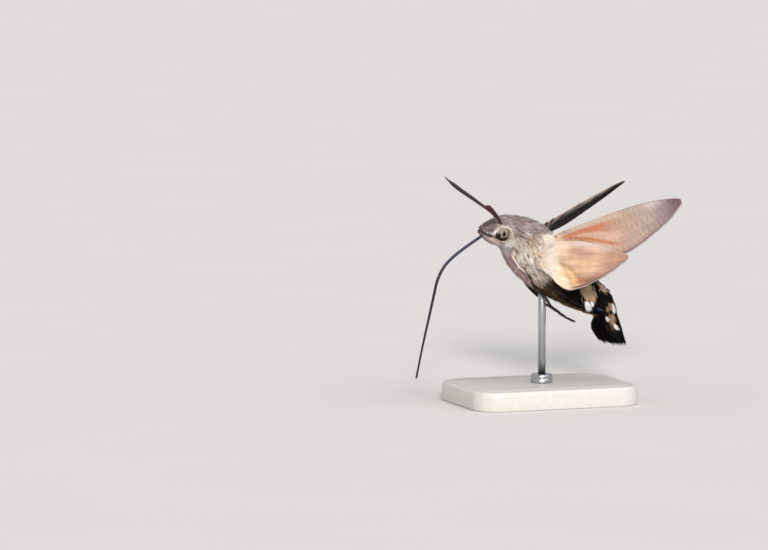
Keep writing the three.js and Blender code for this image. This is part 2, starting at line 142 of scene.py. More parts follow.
WING_ROOT = np.array([3.0, -1.1, 3.05])
SPLAY_ROOT, SPLAY_REACH = 2.0, 9.0
FORE_SPAN, HIND_SPAN, HIND_DROP = 22.5, 13.6, 0.85
HIND_ROOT, HIND_TURN = (0.2, 3.0), math.radians(18.7)
FORE_EDGES = np.array([
    [0.0, 0.0, 1.6], [2.0, -0.1, 3.2], [5.0, -0.3, 4.9], [9.0, -0.7, 6.2], [12.6, -1.1, 6.85],
    [15.0, -1.2, 6.05], [18.0, -1.15, 4.45], [20.6, -0.75, 2.75], [22.0, -0.35, 1.35], [22.5, 0.0, 0.55],
])
HIND_EDGES = np.array([
    [0.0, -1.0, 1.2], [1.6, -2.3, 3.75], [3.5, -2.5, 4.9], [5.3, -2.4, 4.85], [7.9, -1.8, 4.65],
    [10.0, -1.2, 4.1], [11.7, -0.7, 2.75], [13.0, -0.3, 1.3], [13.6, 0.0, 0.5],
])


def along_table(table, column, x):
    """Value at x of a smooth line through the table's rows."""
    x = np.asarray(x, float)
    n = len(table)
    slopes = np.array([
        (table[min(j + 1, n - 1), column] - table[max(j - 1, 0), column])
        / (table[min(j + 1, n - 1), 0] - table[max(j - 1, 0), 0]) for j in range(n)])
    i = np.clip(np.searchsorted(table[:, 0], x, side="left") - 1, 0, n - 2)
    h = table[i + 1, 0] - table[i, 0]
    w = (x - table[i, 0]) / h
    return ((2 * w**3 - 3 * w**2 + 1) * table[i, column] + (w**3 - 2 * w**2 + w) * h * slopes[i]
            + (3 * w**2 - 2 * w**3) * table[i + 1, column] + (w**3 - w**2) * h * slopes[i + 1])


class Stance:
    """How one side's wings are held."""

    def __init__(self, side, sweep, rise, splay):
        sweep, rise = math.radians(sweep), math.radians(rise)
        self.side, self.splay = side, splay
        self.span = np.array([math.cos(sweep) * math.cos(rise), math.sin(sweep) * math.cos(rise), math.sin(rise)])
        self.out = unit(-np.cross([0, 0, 1], self.span))
        self.down = unit(np.cross(self.span, self.out))

    def point(self, s, c, lower):
        """s along the span, c rearward of it, lower towards the wing's underside."""
        s, c, lower = np.broadcast_arrays(*(np.asarray(v, float) for v in (s, c, lower)))
        lean = np.radians(mix(SPLAY_ROOT, self.splay, ease(s / SPLAY_REACH)))[..., None]
        chord = self.down * np.cos(lean) + self.out * np.sin(lean)
        normal = unit(np.cross(self.span, chord))
        p = WING_ROOT + self.span * s[..., None] + chord * c[..., None] - normal * lower[..., None]
        p[..., 0] *= self.side
        return p


LEFT = Stance(1, 59.7, 16.0, 35.0)
RIGHT = Stance(-1, 68.0, 18.1, 53.0)


def as_fore(a, b):
    return a, b


def as_hind(a, b):
    return (HIND_ROOT[0] + a * math.cos(HIND_TURN) - b * math.sin(HIND_TURN),
            HIND_ROOT[1] + a * math.sin(HIND_TURN) + b * math.cos(HIND_TURN))
# --- geometry end


# ------------------------------------------------------------------ meshes
MM = 0.001


def linear(code):
    """Linear red, green and blue of a #rrggbb colour."""
    v = np.array([int(code[i:i + 2], 16) for i in (1, 3, 5)]) / 255
    return np.where(v <= 0.04045, v / 12.92, ((v + 0.055) / 1.055) ** 2.4)


def piece(name, points, faces, material, slot, colour=None, uv=None, smooth=True, replaces=(), normals=None):
    """A mesh piece from points in the moth's millimetres and lists of faces of equal size."""
    points = np.asarray(points, float).reshape(-1, 3) + [0, 0, LIFT]
    faces = [np.asarray(f, np.int64) for f in (faces if isinstance(faces, list) else [faces])]
    corners = np.concatenate([f.ravel() for f in faces])
    sizes = np.concatenate([np.full(len(f), f.shape[1]) for f in faces])
    mesh = bpy.data.meshes.new(name)
    mesh.vertices.add(len(points))
    mesh.vertices.foreach_set("co", (points * MM).astype(np.float32).ravel())
    mesh.loops.add(len(corners))
    mesh.loops.foreach_set("vertex_index", corners.astype(np.int32))
    mesh.polygons.add(len(sizes))
    mesh.polygons.foreach_set("loop_start", np.concatenate([[0], np.cumsum(sizes)[:-1]]).astype(np.int32))
    mesh.update(calc_edges=True)
    mesh.polygons.foreach_set("use_smooth", np.full(len(sizes), smooth))
    if colour is not None:
        rgba = np.ones((len(points), 4), np.float32)
        rgba[:, :3] = np.clip(np.asarray(colour).reshape(-1, 3), 0, 1)
        mesh.color_attributes.new("Mark", "FLOAT_COLOR", "POINT").data.foreach_set("color", rgba.ravel())
    if uv is not None:
        layer = mesh.uv_layers.new(name="OFBake")
        layer.data.foreach_set("uv", np.asarray(uv, np.float32).reshape(-1, 2)[corners].ravel())
    mesh.materials.append(material)
    mesh.update()
    if normals is not None:
        mesh.normals_split_custom_set_from_vertices(np.asarray(normals, np.float32).reshape(-1, 3))
    o = bpy.data.objects.new(name, mesh)
    bpy.context.scene.collection.objects.link(o)
    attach(o, "root")
    if replaces:
        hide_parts(*replaces)
    return o


def grid_faces(rows, cols, wrap=False, first=0, flip=False):
    """Quads over a grid of points; wrap joins the last column to the first."""
    i, j = np.meshgrid(np.arange(rows - 1), np.arange(cols if wrap else cols - 1), indexing="ij")
    a = i * cols + j
    b = i * cols + (j + 1) % cols
    q = np.stack([a, b, b + cols, a + cols], -1).reshape(-1, 4) + first
    return q[:, ::-1] if flip else q


def cap_faces(ring, tip, flip=False):
    """A fan of triangles from a ring of point numbers to one point."""
    ring = np.asarray(ring)
    f = np.stack([ring, np.roll(ring, -1), np.full(len(ring), tip)], -1)
    return f[:, ::-1] if flip else f


# --------------------------------------------------------------- materials
def material(name, rough, bump_scale=None, bump=0.0, grain=0.12, grain_scale=3000.0, sheen=0.0, coat=0.0,
             coat_rough=0.1, metal=0.0, specular=0.5, base=None, stretch=(1, 1, 1), ior=1.5):
    """One surface shader whose colour is the mesh's own mark under a fine grain of light and dark."""
    m = bpy.data.materials.new(name)
    m.use_nodes = True
    nodes, links = m.node_tree.nodes, m.node_tree.links
    shader = nodes["Principled BSDF"]
    shader.inputs["Roughness"].default_value = rough
    shader.inputs["Metallic"].default_value = metal
    shader.inputs["Specular IOR Level"].default_value = specular
    shader.inputs["IOR"].default_value = ior
    shader.inputs["Sheen Weight"].default_value = sheen
    shader.inputs["Sheen Roughness"].default_value = 0.4
    shader.inputs["Coat Weight"].default_value = coat
    shader.inputs["Coat Roughness"].default_value = coat_rough
    where = nodes.new("ShaderNodeTexCoord")
    place = nodes.new("ShaderNodeMapping")
    place.inputs["Scale"].default_value = stretch
    links.new(where.outputs["Object"], place.inputs["Vector"])
    noise = nodes.new("ShaderNodeTexNoise")
    noise.inputs["Scale"].default_value = grain_scale
    noise.inputs["Detail"].default_value = 3.0
    links.new(place.outputs["Vector"], noise.inputs["Vector"])
    spread = nodes.new("ShaderNodeMapRange")
    spread.inputs["From Min"].default_value = 0.25
    spread.inputs["From Max"].default_value = 0.75
    spread.inputs["To Min"].default_value = 1 - grain
    spread.inputs["To Max"].default_value = 1 + grain
    links.new(noise.outputs["Fac"], spread.inputs["Value"])
    if base is None:
        colour = nodes.new("ShaderNodeAttribute")
        colour.attribute_name = "Mark"
        source = colour.outputs["Color"]
    else:
        colour = nodes.new("ShaderNodeRGB")
        colour.outputs[0].default_value = (*base, 1)
        source = colour.outputs[0]
    tint = nodes.new("ShaderNodeVectorMath")
    tint.operation = "SCALE"
    links.new(source, tint.inputs[0])
    links.new(spread.outputs["Result"], tint.inputs["Scale"])
    links.new(tint.outputs["Vector"], shader.inputs["Base Color"])
    if bump:
        fine = nodes.new("ShaderNodeTexNoise")
        fine.inputs["Scale"].default_value = bump_scale or grain_scale
        fine.inputs["Detail"].default_value = 4.0
        links.new(place.outputs["Vector"], fine.inputs["Vector"])
        relief = nodes.new("ShaderNodeBump")
        relief.inputs["Strength"].default_value = bump
        relief.inputs["Distance"].default_value = 0.00005
        links.new(fine.outputs["Fac"], relief.inputs["Height"])
        links.new(relief.outputs["Normal"], shader.inputs["Normal"])
    return m


COAT = material("coat_hair", 0.78, grain=0.10, grain_scale=2500, sheen=0.05, specular=0.15)
COAT_DARK = material("coat_hair_dark", 0.6, grain=0.12, grain_scale=2500, sheen=0.0, specular=0.07)
SKIN = material("skin", 0.85, bump_scale=6000, bump=0.6, grain=0.15, grain_scale=2000, specular=0.2)


def ripple(p, scale, seed, count=7):
    """Smooth random variation between about -1 and 1 over space, scale in mm."""
    rng = np.random.default_rng(seed)
    way = rng.normal(size=(count, 3))
    way = way / np.linalg.norm(way, axis=1, keepdims=True) * rng.uniform(0.6, 1.6, (count, 1)) / scale * 2 * np.pi
    return np.sin(p @ way.T + rng.uniform(0, 2 * np.pi, count)).sum(-1) / np.sqrt(count) / 1.2


def spot(t, turn, t0, a0, wt, wa, sharp=2.0):
    """1 at a place on the body and 0 away from it, over an oval of wt rings by wa degrees."""
    return np.exp(-(np.abs((t - t0) / wt) ** sharp + np.abs((turn - a0) / wa) ** sharp))


# ---------------------------------------------------------------- markings
def band(v, low, high, soft):
    return ease(v, low - soft, low + soft) * (1 - ease(v, high - soft, high + soft))


STRIPE = ((-10.35, 4.42), (-9.65, 3.96), (-8.95, 3.50), (-8.55, 3.30), (-8.15, 3.28), (-7.75, 3.42))


def stripe_height(y):
    """Height of the dark stripe from the snout's tip to the eye."""
    return np.interp(y, [q[0] for q in STRIPE], [q[1] for q in STRIPE])


def stroke(p, path, wide):
    """1 on a line drawn on the side of the face in depth and height, 0 away from it."""
    q, near = p[:, 1:], np.full(len(p), 9.0)
    for a, b in zip(path[:-1], path[1:]):
        a, b = np.array(a), np.array(b)
        k = np.clip((q - a) @ (b - a) / ((b - a) @ (b - a)), 0, 1)
        near = np.minimum(near, np.linalg.norm(q - a - k[:, None] * (b - a), axis=1))
    return np.exp(-(near / wide) ** 3) * ease(np.abs(p[:, 0]), 0.30, 0.60)


def face_marks(c, p):
    """The dark stripe before the eye with the white bar over it."""
    for code, path, wide, much in (
            ("#d8cac1", ((-7.70, 4.50), (-7.10, 4.92), (-6.50, 5.02)), 0.10, 0.6),
            ("#ffffff", ((-8.90, 3.82), (-8.25, 4.08), (-7.48, 4.60)), 0.23, 1.0),
            ("#2e221f", STRIPE, 0.23, 0.95),
            ("#e2d6d2", ((-9.82, 4.40), (-9.35, 4.12)), 0.10, 0.85),
            ("#2a1e1d", ((-10.30, 4.50), (-9.90, 4.74)), 0.26, 0.85),
            ("#5d4d4a", ((-9.60, 4.95), (-8.90, 5.20)), 0.28, 0.6)):
        c = mix(c, linear(code), (much * stroke(p, path, wide))[:, None])
    return c


def coat_colour(t, turn, p):
    """The coat's colour at a place of the body. Both sides carry the same markings."""
    a = np.minimum(turn % 360, 360 - turn % 360)
    n = len(t)
    c = np.tile(linear("#a09191"), (n, 1))                       # grey-mauve back of the chest

    def lay(code, w):
        nonlocal c
        c = mix(c, linear(code), np.clip(w, 0, 1)[:, None])

    wave = ripple(p, 1.7, 3)
    fine = ripple(p, 0.7, 4)
    lay("#bbaaa5", 0.6 * ease(fine, 0.1, 0.9))
    lay("#7f7069", 0.5 * ease(-wave, 0.1, 0.9))
    # face and crown
    face = 1 - ease(t, 1.6, 2.3)
    lay("#93837f", face)
    lay("#66564f", face * ease(-fine, -0.2, 0.8) * 0.6)
    # sides of the chest: beige below the wing, then white locks with painted shade in the gaps between them
    low = ease(a + 9 * wave + 5 * (t - 5), 66, 88) * ease(t + 0.3 * wave, 3.6, 4.8)
    lay("#d9bfa6", low * (1 - ease(t, 5.9, 6.8)))
    white = ease(a + 8 * wave, 84, 104) * ease(t, 2.3, 2.9) * (1 - ease(t, 5.7, 6.5))
    lay("#ddcfc5", white)
    lay("#a8968f", white * ease(t, 4.6, 5.6) * 0.7)
    # painted shade in the gaps between the white locks
    lay("#a08468", white * ease(fine + wave, 0.2, 1.0) * 0.85)
    # front of the chest: smooth mauve
    lay("#c3a29e", ease(a - 4 * (t - 4), 128, 143) * ease(t, 2.5, 3.5) * (1 - ease(t, 6.2, 7.0)))
    # painted shadow: the dark line the fore leg casts beside it on the chest
    lay("#4a3832", np.exp(-((a - 148.5) / 2.6) ** 2) * band(t, 3.8, 5.6, 0.2) * 0.95)
    # cheek, and the pale ring around the eye
    cheek = ease(a, 108, 128) * ease(t, 1.3, 1.7) * (1 - ease(t, 2.9, 3.4))
    lay("#cabdbd", cheek)
    lay("#f2ecec", spot(t, a, 2.45, 116, 0.45, 13) * 0.8)
    q = (p - EYE_AT * np.where(p[:, :1] < 0, [-1, 1, 1], [1, 1, 1])) / EYE_HALF
    eye = np.hypot(q[:, 1], q[:, 2])
    side = ease(np.abs(p[:, 0]), 0.9, 1.4)
    lay("#c4b4aa", side * (1 - ease(eye, 1.06, 1.20)) * 0.95)
    brow = spot(t, a, 1.62, 62, 0.33, 13)
    lay("#b3a59d", brow * 0.7)
    below = ease(stripe_height(p[:, 1]) - p[:, 2], 0.05, 0.30) * (1 - ease(t, 1.5, 2.2))
    lay("#cbb9b3", below)
    c = face_marks(c, p)
    # rear of the chest and the abdomen turn dark brown; below the wing the rear of the chest is darkened further as
    # painted shade
    back = ease(t + 0.25 * wave, 6.7, 7.3)
    lay("#8d7d73", back)
    flank = ease(a + 6 * wave, 34, 62)
    # the rear of the chest's own dark brown, deepened as painted shade below the wing
    lay("#2b1f16", ease(t + 0.2 * wave, 5.75, 6.5) * flank)
    lay("#4b3a2a", ease(t + 0.25 * wave, 5.9, 6.9) * ease(a + 5 * fine, 122, 150))
    lay("#0f0a07", ease(t + 0.25 * wave, 6.8, 7.7) * flank * (1 - 0.6 * ease(a, 140, 165)))
    lay("#070504", ease(t + 0.2 * wave, 8.4, 9.2))
    lay("#a07c50", ease(t, 6.8, 7.8) * ease(a + 8 * fine, 158, 172) * (1 - ease(t, 9.7, 10.2)) * 0.95)
    lay("#070606", ease(t, 10.2, 10.9))
    return c


def hair_tint(rng, c, spread=0.16, root=0.5, tip=1.12, stations=4):
    """Colours of a tuft from root to tip, each tuft a little lighter or darker than the next; the root is painted
    darker as shade among the hairs and the tip lighter as light on them.
    """
    own = np.exp(rng.normal(0, spread, len(c)))[:, None] * c
    along = np.linspace(0, 1, stations) ** 0.8
    # painted shade towards the root, painted light towards the tip
    out = own[:, None, :] * mix(root, tip, along)[None, :, None]
    return np.where(out > 0.6, 0.6 + 0.28 * (1 - np.exp(-(out - 0.6) / 0.28)), out)


# -------------------------------------------------------------------- coat
def scatter(rng, count, t0, t1, weight, turns=(0, 360)):
    """Places spread evenly over a length of the body, thinned by a weight of t and turn."""
    nt, na = 240, 240
    te, ae = np.linspace(t0, t1, nt + 1), np.linspace(turns[0], turns[1], na + 1)
    t, a = np.meshgrid((te[:-1] + te[1:]) / 2, (ae[:-1] + ae[1:]) / 2, indexing="ij")
    t, a = t.ravel(), a.ravel()
    _, along, round_, _ = body_frame(t, a)
    w = np.linalg.norm(np.cross(along, round_), axis=1) * weight(t, np.minimum(a % 360, 360 - a % 360))
    total = np.cumsum(w)
    pick = np.searchsorted(total, (np.arange(count) + rng.uniform(0, 1, count)) / count * total[-1])
    pick = np.clip(pick, 0, len(t) - 1)
    return (t[pick] + rng.uniform(-0.5, 0.5, count) * (t1 - t0) / nt,
            a[pick] + rng.uniform(-0.5, 0.5, count) * (turns[1] - turns[0]) / na)


def nearest(p, centres):
    tree = KDTree(len(centres))
    for i, q in enumerate(centres):
        tree.insert(q, i)
    tree.balance()
    return np.array([tree.find(q)[1] for q in p])


SPINE_T = np.linspace(0, 13, 261)
_mid = (body_point(SPINE_T, 0 * SPINE_T) + body_point(SPINE_T, 0 * SPINE_T + 180)) / 2
SPINE_L = np.concatenate([[0], np.cumsum(np.linalg.norm(np.diff(_mid, axis=0), axis=1))])


def gather(rng, t, a, clumps, drawn=0.42):
    """Which tuft each tuft bunches with: the number of its clump, and that clump's own tuft."""
    p = body_point(t, a)
    top, foot = body_point(t, 0 * a), body_point(t, 0 * a + 180)
    mid = (top + foot) / 2
    up = unit(top - mid)
    along = np.interp(t, SPINE_T, SPINE_L)
    p = np.stack([p[:, 0], ((p - mid) * up).sum(1), along * drawn], -1)
    chosen = rng.choice(len(t), clumps, replace=False)
    own = nearest(p, p[chosen])
    return own, chosen[own]


def laid(rng, t, a, length, way, depth, tip, lead=None, pull=0.6, steps=(0, 0.3, 0.65, 1), curl=0.0, rise=1.7):
    """Centre lines of tufts that lie along the body. way is degrees off rearward, towards the belly;
    depth and tip are how far root and tip stand under and over the outline."""
    n, steps = len(t), np.asarray(steps, float)
    length, way, depth, tip, curl = (np.broadcast_to(np.asarray(v, float), n) for v in (length, way, depth, tip, curl))
    p, along, round_, _ = body_frame(t, a)
    sign = np.where(a % 360 < 180, 1.0, -1.0)
    per_t, per_a = np.linalg.norm(along, axis=1), np.maximum(np.linalg.norm(round_, axis=1), 0.012)
    dt, da = np.zeros(n), np.zeros(n)
    if lead is not None:
        dt = t[lead] - t
        da = (a[lead] - a + 180) % 360 - 180
    lines, normals = [], []
    tt, aa, last = t.copy(), a.copy(), 0.0
    for s in steps:
        go = np.radians(way + curl * s)
        step = (s - last) * length
        tt = tt + np.cos(go) * step / per_t
        aa = aa + np.sin(go) * sign * step / per_a
        last = s
        k = pull * s**1.5
        q, _, _, normal = body_frame(np.clip(tt + dt * k, 0.02, 13), aa + da * k)
        height = -depth + (depth + tip) * (1 - (1 - s) ** rise)
        lines.append(q + normal * height[:, None])
        normals.append(normal)
    return np.stack(lines, 1), np.stack(normals, 1)


def locks(name, lines, normals, width, colour, uv, material, slot, thick=0.4, taper=(1.0, 0.95, 0.7), replaces=(), back=0.0):
    """Thin closed three-sided tufts along the given centre lines."""
    n, k = lines.shape[:2]
    ways = unit(np.gradient(lines, axis=1))
    side = unit(np.cross(ways, normals))
    up = np.cross(side, ways)
    w = np.broadcast_to(np.asarray(width, float), n)[:, None, None] / 2
    points, colours, ups = [], [], []
    face = 1 - 1.7 * np.broadcast_to(np.asarray(back, float), n)[:, None]      # 1: the underside is in sight
    for i in range(k - 1):
        r = w[:, 0] * taper[i]
        c, s, u = lines[:, i], side[:, i], up[:, i]
        points += [c - s * r, c + s * r, c + u * r * 2 * thick]
        colours += [colour[:, i]] * 3
        ups += [unit(u * face - 0.35 * s), unit(u * face + 0.35 * s), u]
    points.append(lines[:, -1])
    colours.append(colour[:, -1])
    ups.append(up[:, -1])
    points, ups = np.stack(points, 1), np.stack(ups, 1)
    per = points.shape[1]
    f4 = []
    for i in range(k - 2):
        for j in range(3):
            a, b = 3 * i + j, 3 * i + (j + 1) % 3
            f4.append([a, a + 3, b + 3, b])
    f3 = [[3 * (k - 2) + (j + 1) % 3, 3 * (k - 2) + j, per - 1] for j in range(3)] + [[0, 1, 2]]
    first = (np.arange(n) * per)[:, None, None]
    quads = (np.array(f4)[None] + first).reshape(-1, 4)
    tris = (np.array(f3)[None] + first).reshape(-1, 3)
    patch = np.zeros((per, 2))
    for i in range(k - 1):
        for j in range(3):
            patch[3 * i + j] = [(j - 1) * 0.0012, i / (k - 1) * 0.003]
    patch[-1] = [0, 0.003]
    flat = np.asarray(uv)[:, None, :] + patch[None]
    return piece(name, points.reshape(-1, 3), [quads, tris], material, slot,
                 colour=np.stack(colours, 1).reshape(-1, 3), uv=np.clip(flat, 0.001, 0.999).reshape(-1, 2),
                 replaces=replaces, normals=ups)


def body_uv(t, a, t0, t1):
    """Place on an unwrap of the skin: turn across, length along."""
    return np.stack([0.01 + 0.975 * (a % 360) / 360, 0.01 + 0.975 * np.clip((t - t0) / (t1 - t0), 0, 1)], -1)


# -------------------------------------------------------------------- limbs
class Line:
    """A smooth line through points, with places by share of its length and steady frames."""

    def __init__(self, points):
        v = np.array(points, float)
        v = np.vstack([2 * v[0] - v[1], v, 2 * v[-1] - v[-2]])
        out = []
        for i in range(len(v) - 3):
            x0, x1, x2, x3 = v[i:i + 4]
            d0, d1, d2 = (max(np.linalg.norm(b - a) ** 0.5, 1e-4) for a, b in ((x0, x1), (x1, x2), (x2, x3)))
            m1 = ((x1 - x0) / d0 - (x2 - x0) / (d0 + d1) + (x2 - x1) / d1) * d1
            m2 = ((x2 - x1) / d1 - (x3 - x1) / (d1 + d2) + (x3 - x2) / d2) * d1
            w = np.linspace(0, 1, 81)[:, None]
            q = (2 * x1 - 2 * x2 + m1 + m2) * w**3 + (-3 * x1 + 3 * x2 - 2 * m1 - m2) * w**2 + m1 * w + x1
            out.append(q if i == len(v) - 4 else q[:-1])
        self.q = np.vstack(out)
        self.d = np.concatenate([[0], np.cumsum(np.linalg.norm(np.diff(self.q, axis=0), axis=1))])
        self.length = self.d[-1]
        way = unit(np.gradient(self.q, axis=0))
        side = [unit(np.cross(way[0], [0.3, 0.2, 1.0]))]
        for w in way[1:]:
            side.append(unit(side[-1] - w * np.dot(side[-1], w)))
        self.way, self.side = way, np.array(side)

    def at(self, share):
        d = np.clip(np.asarray(share, float), 0, 1) * self.length
        take = lambda v: np.stack([np.interp(d, self.d, v[:, i]) for i in range(3)], -1)
        p, way, side = take(self.q), unit(take(self.way)), unit(take(self.side))
        return p, way, side, np.cross(way, side)


def tube(line, shares, radius, sides, flat=1.0):
    """Points and faces of a closed limb; radius is an array over shares."""
    p, way, side, up = line.at(shares)
    g = np.linspace(0, 2 * np.pi, sides, endpoint=False)
    r = np.broadcast_to(np.asarray(radius, float), len(shares))[:, None, None]
    ring = (np.cos(g)[None, :, None] * side[:, None] + np.sin(g)[None, :, None] * up[:, None] * flat) * r
    points = (p[:, None] + ring).reshape(-1, 3)
    n = len(points)
    points = np.vstack([points, p[0] - way[0] * r[0, 0] * 0.3, p[-1] + way[-1] * r[-1, 0] * 0.3])
    last = (len(shares) - 1) * sides + np.arange(sides)
    return points, grid_faces(len(shares), sides, wrap=True), [cap_faces(np.arange(sides), n, flip=True), cap_faces(last, n + 1)]


class Mesh:
    """Gathers points, faces and colours of several closed shells for one piece."""

    def __init__(self):
        self.p, self.f3, self.f4, self.c, self.n = [], [], [], [], 0

    def add(self, points, quads=None, tris=None, colour=(0.5, 0.5, 0.5)):
        points = np.asarray(points, float).reshape(-1, 3)
        if quads is not None and len(quads):
            self.f4.append(np.asarray(quads) + self.n)
        for f in (tris or []):
            self.f3.append(np.asarray(f) + self.n)
        self.p.append(points)
        self.c.append(np.broadcast_to(colour, points.shape) if np.ndim(colour) == 1 else np.asarray(colour).reshape(-1, 3))
        self.n += len(points)

    def make(self, name, material, slot, **more):
        faces = ([np.vstack(self.f4)] if self.f4 else []) + ([np.vstack(self.f3)] if self.f3 else [])
        return piece(name, np.vstack(self.p), faces, material, slot, colour=np.vstack(self.c), **more)


PALP = {side: Line([(side * 0.95, -6.95, 2.12), (side * 0.95, -7.63, 2.50), (side * 0.90, -8.43, 3.05),
                    (side * 0.75, -9.11, 3.62), (side * 0.58, -9.70, 4.08)]) for side in (1, -1)}


def palp_radius(s):
    return 0.36 + 0.16 * np.sin(np.pi * np.minimum(1, s * 0.9 + 0.05))


# -------------------------------------------------------------------- skin
def coat_depth(t, turn):
    """How far the skin lies under the coat's outline."""
    return 0.12 + 0.10 * ease(t, 0.4, 2.0) + 0.20 * ease(t, 2.4, 3.6) - 0.07 * ease(t, 6.6, 7.6) + 0.25 * ease(t, 11, 12.3)


def make_skin():
    """One closed skin over head, palps, chest, abdomen and the core of the tail."""
    shell = Mesh()
    ts = np.linspace(0, 12.35, 190)
    turns = np.arange(0, 360, 4.0)
    t, a = np.meshgrid(ts, turns, indexing="ij")
    p = body_point(t, a, -coat_depth(t, a)).reshape(-1, 3)
    ends = [p[:len(turns)].mean(0), p[-len(turns):].mean(0) + [0, 0.05, -0.25]]
    n = len(p)
    shell.add(np.vstack([p, ends]), grid_faces(len(ts), len(turns), wrap=True),
              [cap_faces(np.arange(len(turns)), n, flip=True), cap_faces(n - len(turns) + np.arange(len(turns)), n + 1)])
    for side in (1, -1):
        s = np.linspace(0, 1, 24)
        shell.add(*tube(PALP[side], s, palp_radius(s) - 0.13, 20))
    mesh = bpy.data.meshes.new("shells")
    faces = [f for group in (shell.f4 + shell.f3) for f in group.tolist()]
    mesh.from_pydata(np.vstack(shell.p).tolist(), [], faces)
    o = bpy.data.objects.new("shells", mesh)
    bpy.context.scene.collection.objects.link(o)
    remesh = o.modifiers.new("one", "REMESH")
    remesh.mode, remesh.voxel_size = "VOXEL", 0.12
    relax = o.modifiers.new("relax", "SMOOTH")
    relax.factor, relax.iterations = 0.5, 5
    depsgraph = bpy.context.evaluated_depsgraph_get()
    whole = bpy.data.meshes.new_from_object(o.evaluated_get(depsgraph))
    bpy.data.objects.remove(o)
    p = np.zeros(len(whole.vertices) * 3, np.float32)
    whole.vertices.foreach_get("co", p)
    p = p.reshape(-1, 3).astype(float)
    corner = np.zeros(len(whole.loops), np.int32)
    whole.loops.foreach_get("vertex_index", corner)
    assert len(corner) == 4 * len(whole.polygons)
    quads = corner.reshape(-1, 4)
    bpy.data.meshes.remove(whole)
    # the place of every skin point on the body's unwrap, for its markings
    ts, turns = np.linspace(0, 12.6, 253), np.arange(0, 360, 3.0)
    t, a = np.meshgrid(ts, turns, indexing="ij")
    near = nearest(p, body_point(t, a, -0.25).reshape(-1, 3))
    t, a = t.ravel()[near], a.ravel()[near]
    # the skin takes the coat's markings darkened, as painted shade under and between the tufts
    colour = coat_colour(t, a, p) * 0.62
    palp = palp_share(p)
    colour[palp > 0.5] = palp_colour(p[palp > 0.5]) * 0.7
    piece("moth_skin", p, quads, SKIN, "coat_grey", colour=colour,
          replaces=("head", "palp_left", "palp_right", "thorax", "abdomen", "tail_fan"))


def palp_share(p):
    """1 where a point is nearer to a palp than to the head."""
    out = np.zeros(len(p))
    for side in (1, -1):
        s = np.linspace(0.08, 1, 30)
        q = PALP[side].at(s)[0]
        d = np.linalg.norm(p[:, None] - q[None], axis=2) - palp_radius(s)[None]
        out = np.maximum(out, (d.min(1) < 0.02))
    return out


def palp_colour(p):
    """White above, turning to pinkish red along the lower edge."""
    c = np.tile(linear("#cdb8b3"), (len(p), 1))
    level = p[:, 2] + 0.62 * (p[:, 1] + 8.5)          # height above the palp's own slope
    low = 1 - ease(level + 0.12 * ripple(p, 0.5, 8), 1.65, 2.15)
    c = mix(c, linear("#c08c82"), low[:, None])
    above = ease(p[:, 2] - stripe_height(p[:, 1]), 0.0, 0.2)
    c = mix(c, linear("#8b7b77"), above[:, None])
    return face_marks(c, p)


# -------------------------------------------------------------------- coat
def clear_of_eyes(lines, grow=1.0):
    """True for tufts that stay out of the eyes."""
    keep = np.ones(len(lines), bool)
    for side in (1, -1):
        q = (lines - EYE_AT * [side, 1, 1]) / (EYE_HALF * grow)
        keep &= (np.linalg.norm(q, axis=2) > 1.0).all(1)
    return keep


def coat(name, seed, count, t0, t1, weight, length, width, way, depth, tip, clumps, pull, slot,
         material=None, turns=(0, 360), spread=0.14, root=0.42, curl=0.0, top=1.12, rise=1.7, keep=None, thick=0.4,
         tone=0.2, stand=0.07, stray=7, steps=(0, 0.45, 1), dark=0.08, highlight_share=0.0, calm=None):
    rng = np.random.default_rng(seed)
    t, a = scatter(rng, count, t0, t1, weight, turns)
    fold = np.minimum(a % 360, 360 - a % 360)
    own = lambda f: f(t, fold, rng) if callable(f) else f
    bunch, lead = gather(rng, t, a, clumps)
    lines, normals = laid(rng, t, a, own(length) * np.exp(rng.normal(0, 0.12, clumps))[bunch],
                          own(way) + rng.normal(0, stray, clumps)[bunch], own(depth),
                          own(tip) + rng.normal(-stand / 2, stand, clumps)[bunch], lead, pull, steps=steps, curl=own(curl), rise=rise)
    good = clear_of_eyes(lines, 1.04)
    if keep is not None:
        good &= keep(t, fold, lines[:, 0])
    vary = 1 - 0.55 * calm(t, fold) if calm else np.ones(len(t))
    marks = coat_colour(t, a, lines[:, 0]) * np.exp(rng.normal(0, tone, clumps)[bunch] * vary)[:, None]
    # some clumps are painted darker as shade in the gaps between locks, and some painted lighter as highlights on the
    # locks
    painted_shade_tufts = (rng.uniform(0, 1, clumps) < dark)[bunch] & (rng.uniform(0, 1, len(t)) < 0.8 * vary**2)
    marks[painted_shade_tufts] = marks[painted_shade_tufts] * [0.36, 0.30, 0.25]
    painted_highlight_tufts = (rng.uniform(0, 1, clumps) < highlight_share)[bunch] & (rng.uniform(0, 1, len(t)) < 0.8 * vary**2)
    marks[painted_highlight_tufts] = marks[painted_highlight_tufts] * 1.42
    warm = rng.normal(0, 0.05, clumps)[bunch]
    marks = marks * np.stack([1 + warm, 1 + 0 * warm, 1 - 1.3 * warm], -1)
    # root and top set how much darker each tuft's root and lighter its tip are painted, as shade and light among the
    # hairs
    colour = hair_tint(rng, marks, spread, root, top, len(steps))
    wide = own(width) * rng.uniform(0.75, 1.25, len(t))
    return locks(name, lines[good], normals[good], wide[good], colour[good], body_uv(t, a, t0, t1)[good],
                 material or COAT, slot, thick=thick, taper=(1.0, 0.9, 0.7) if len(steps) > 3 else (1.0, 0.85))


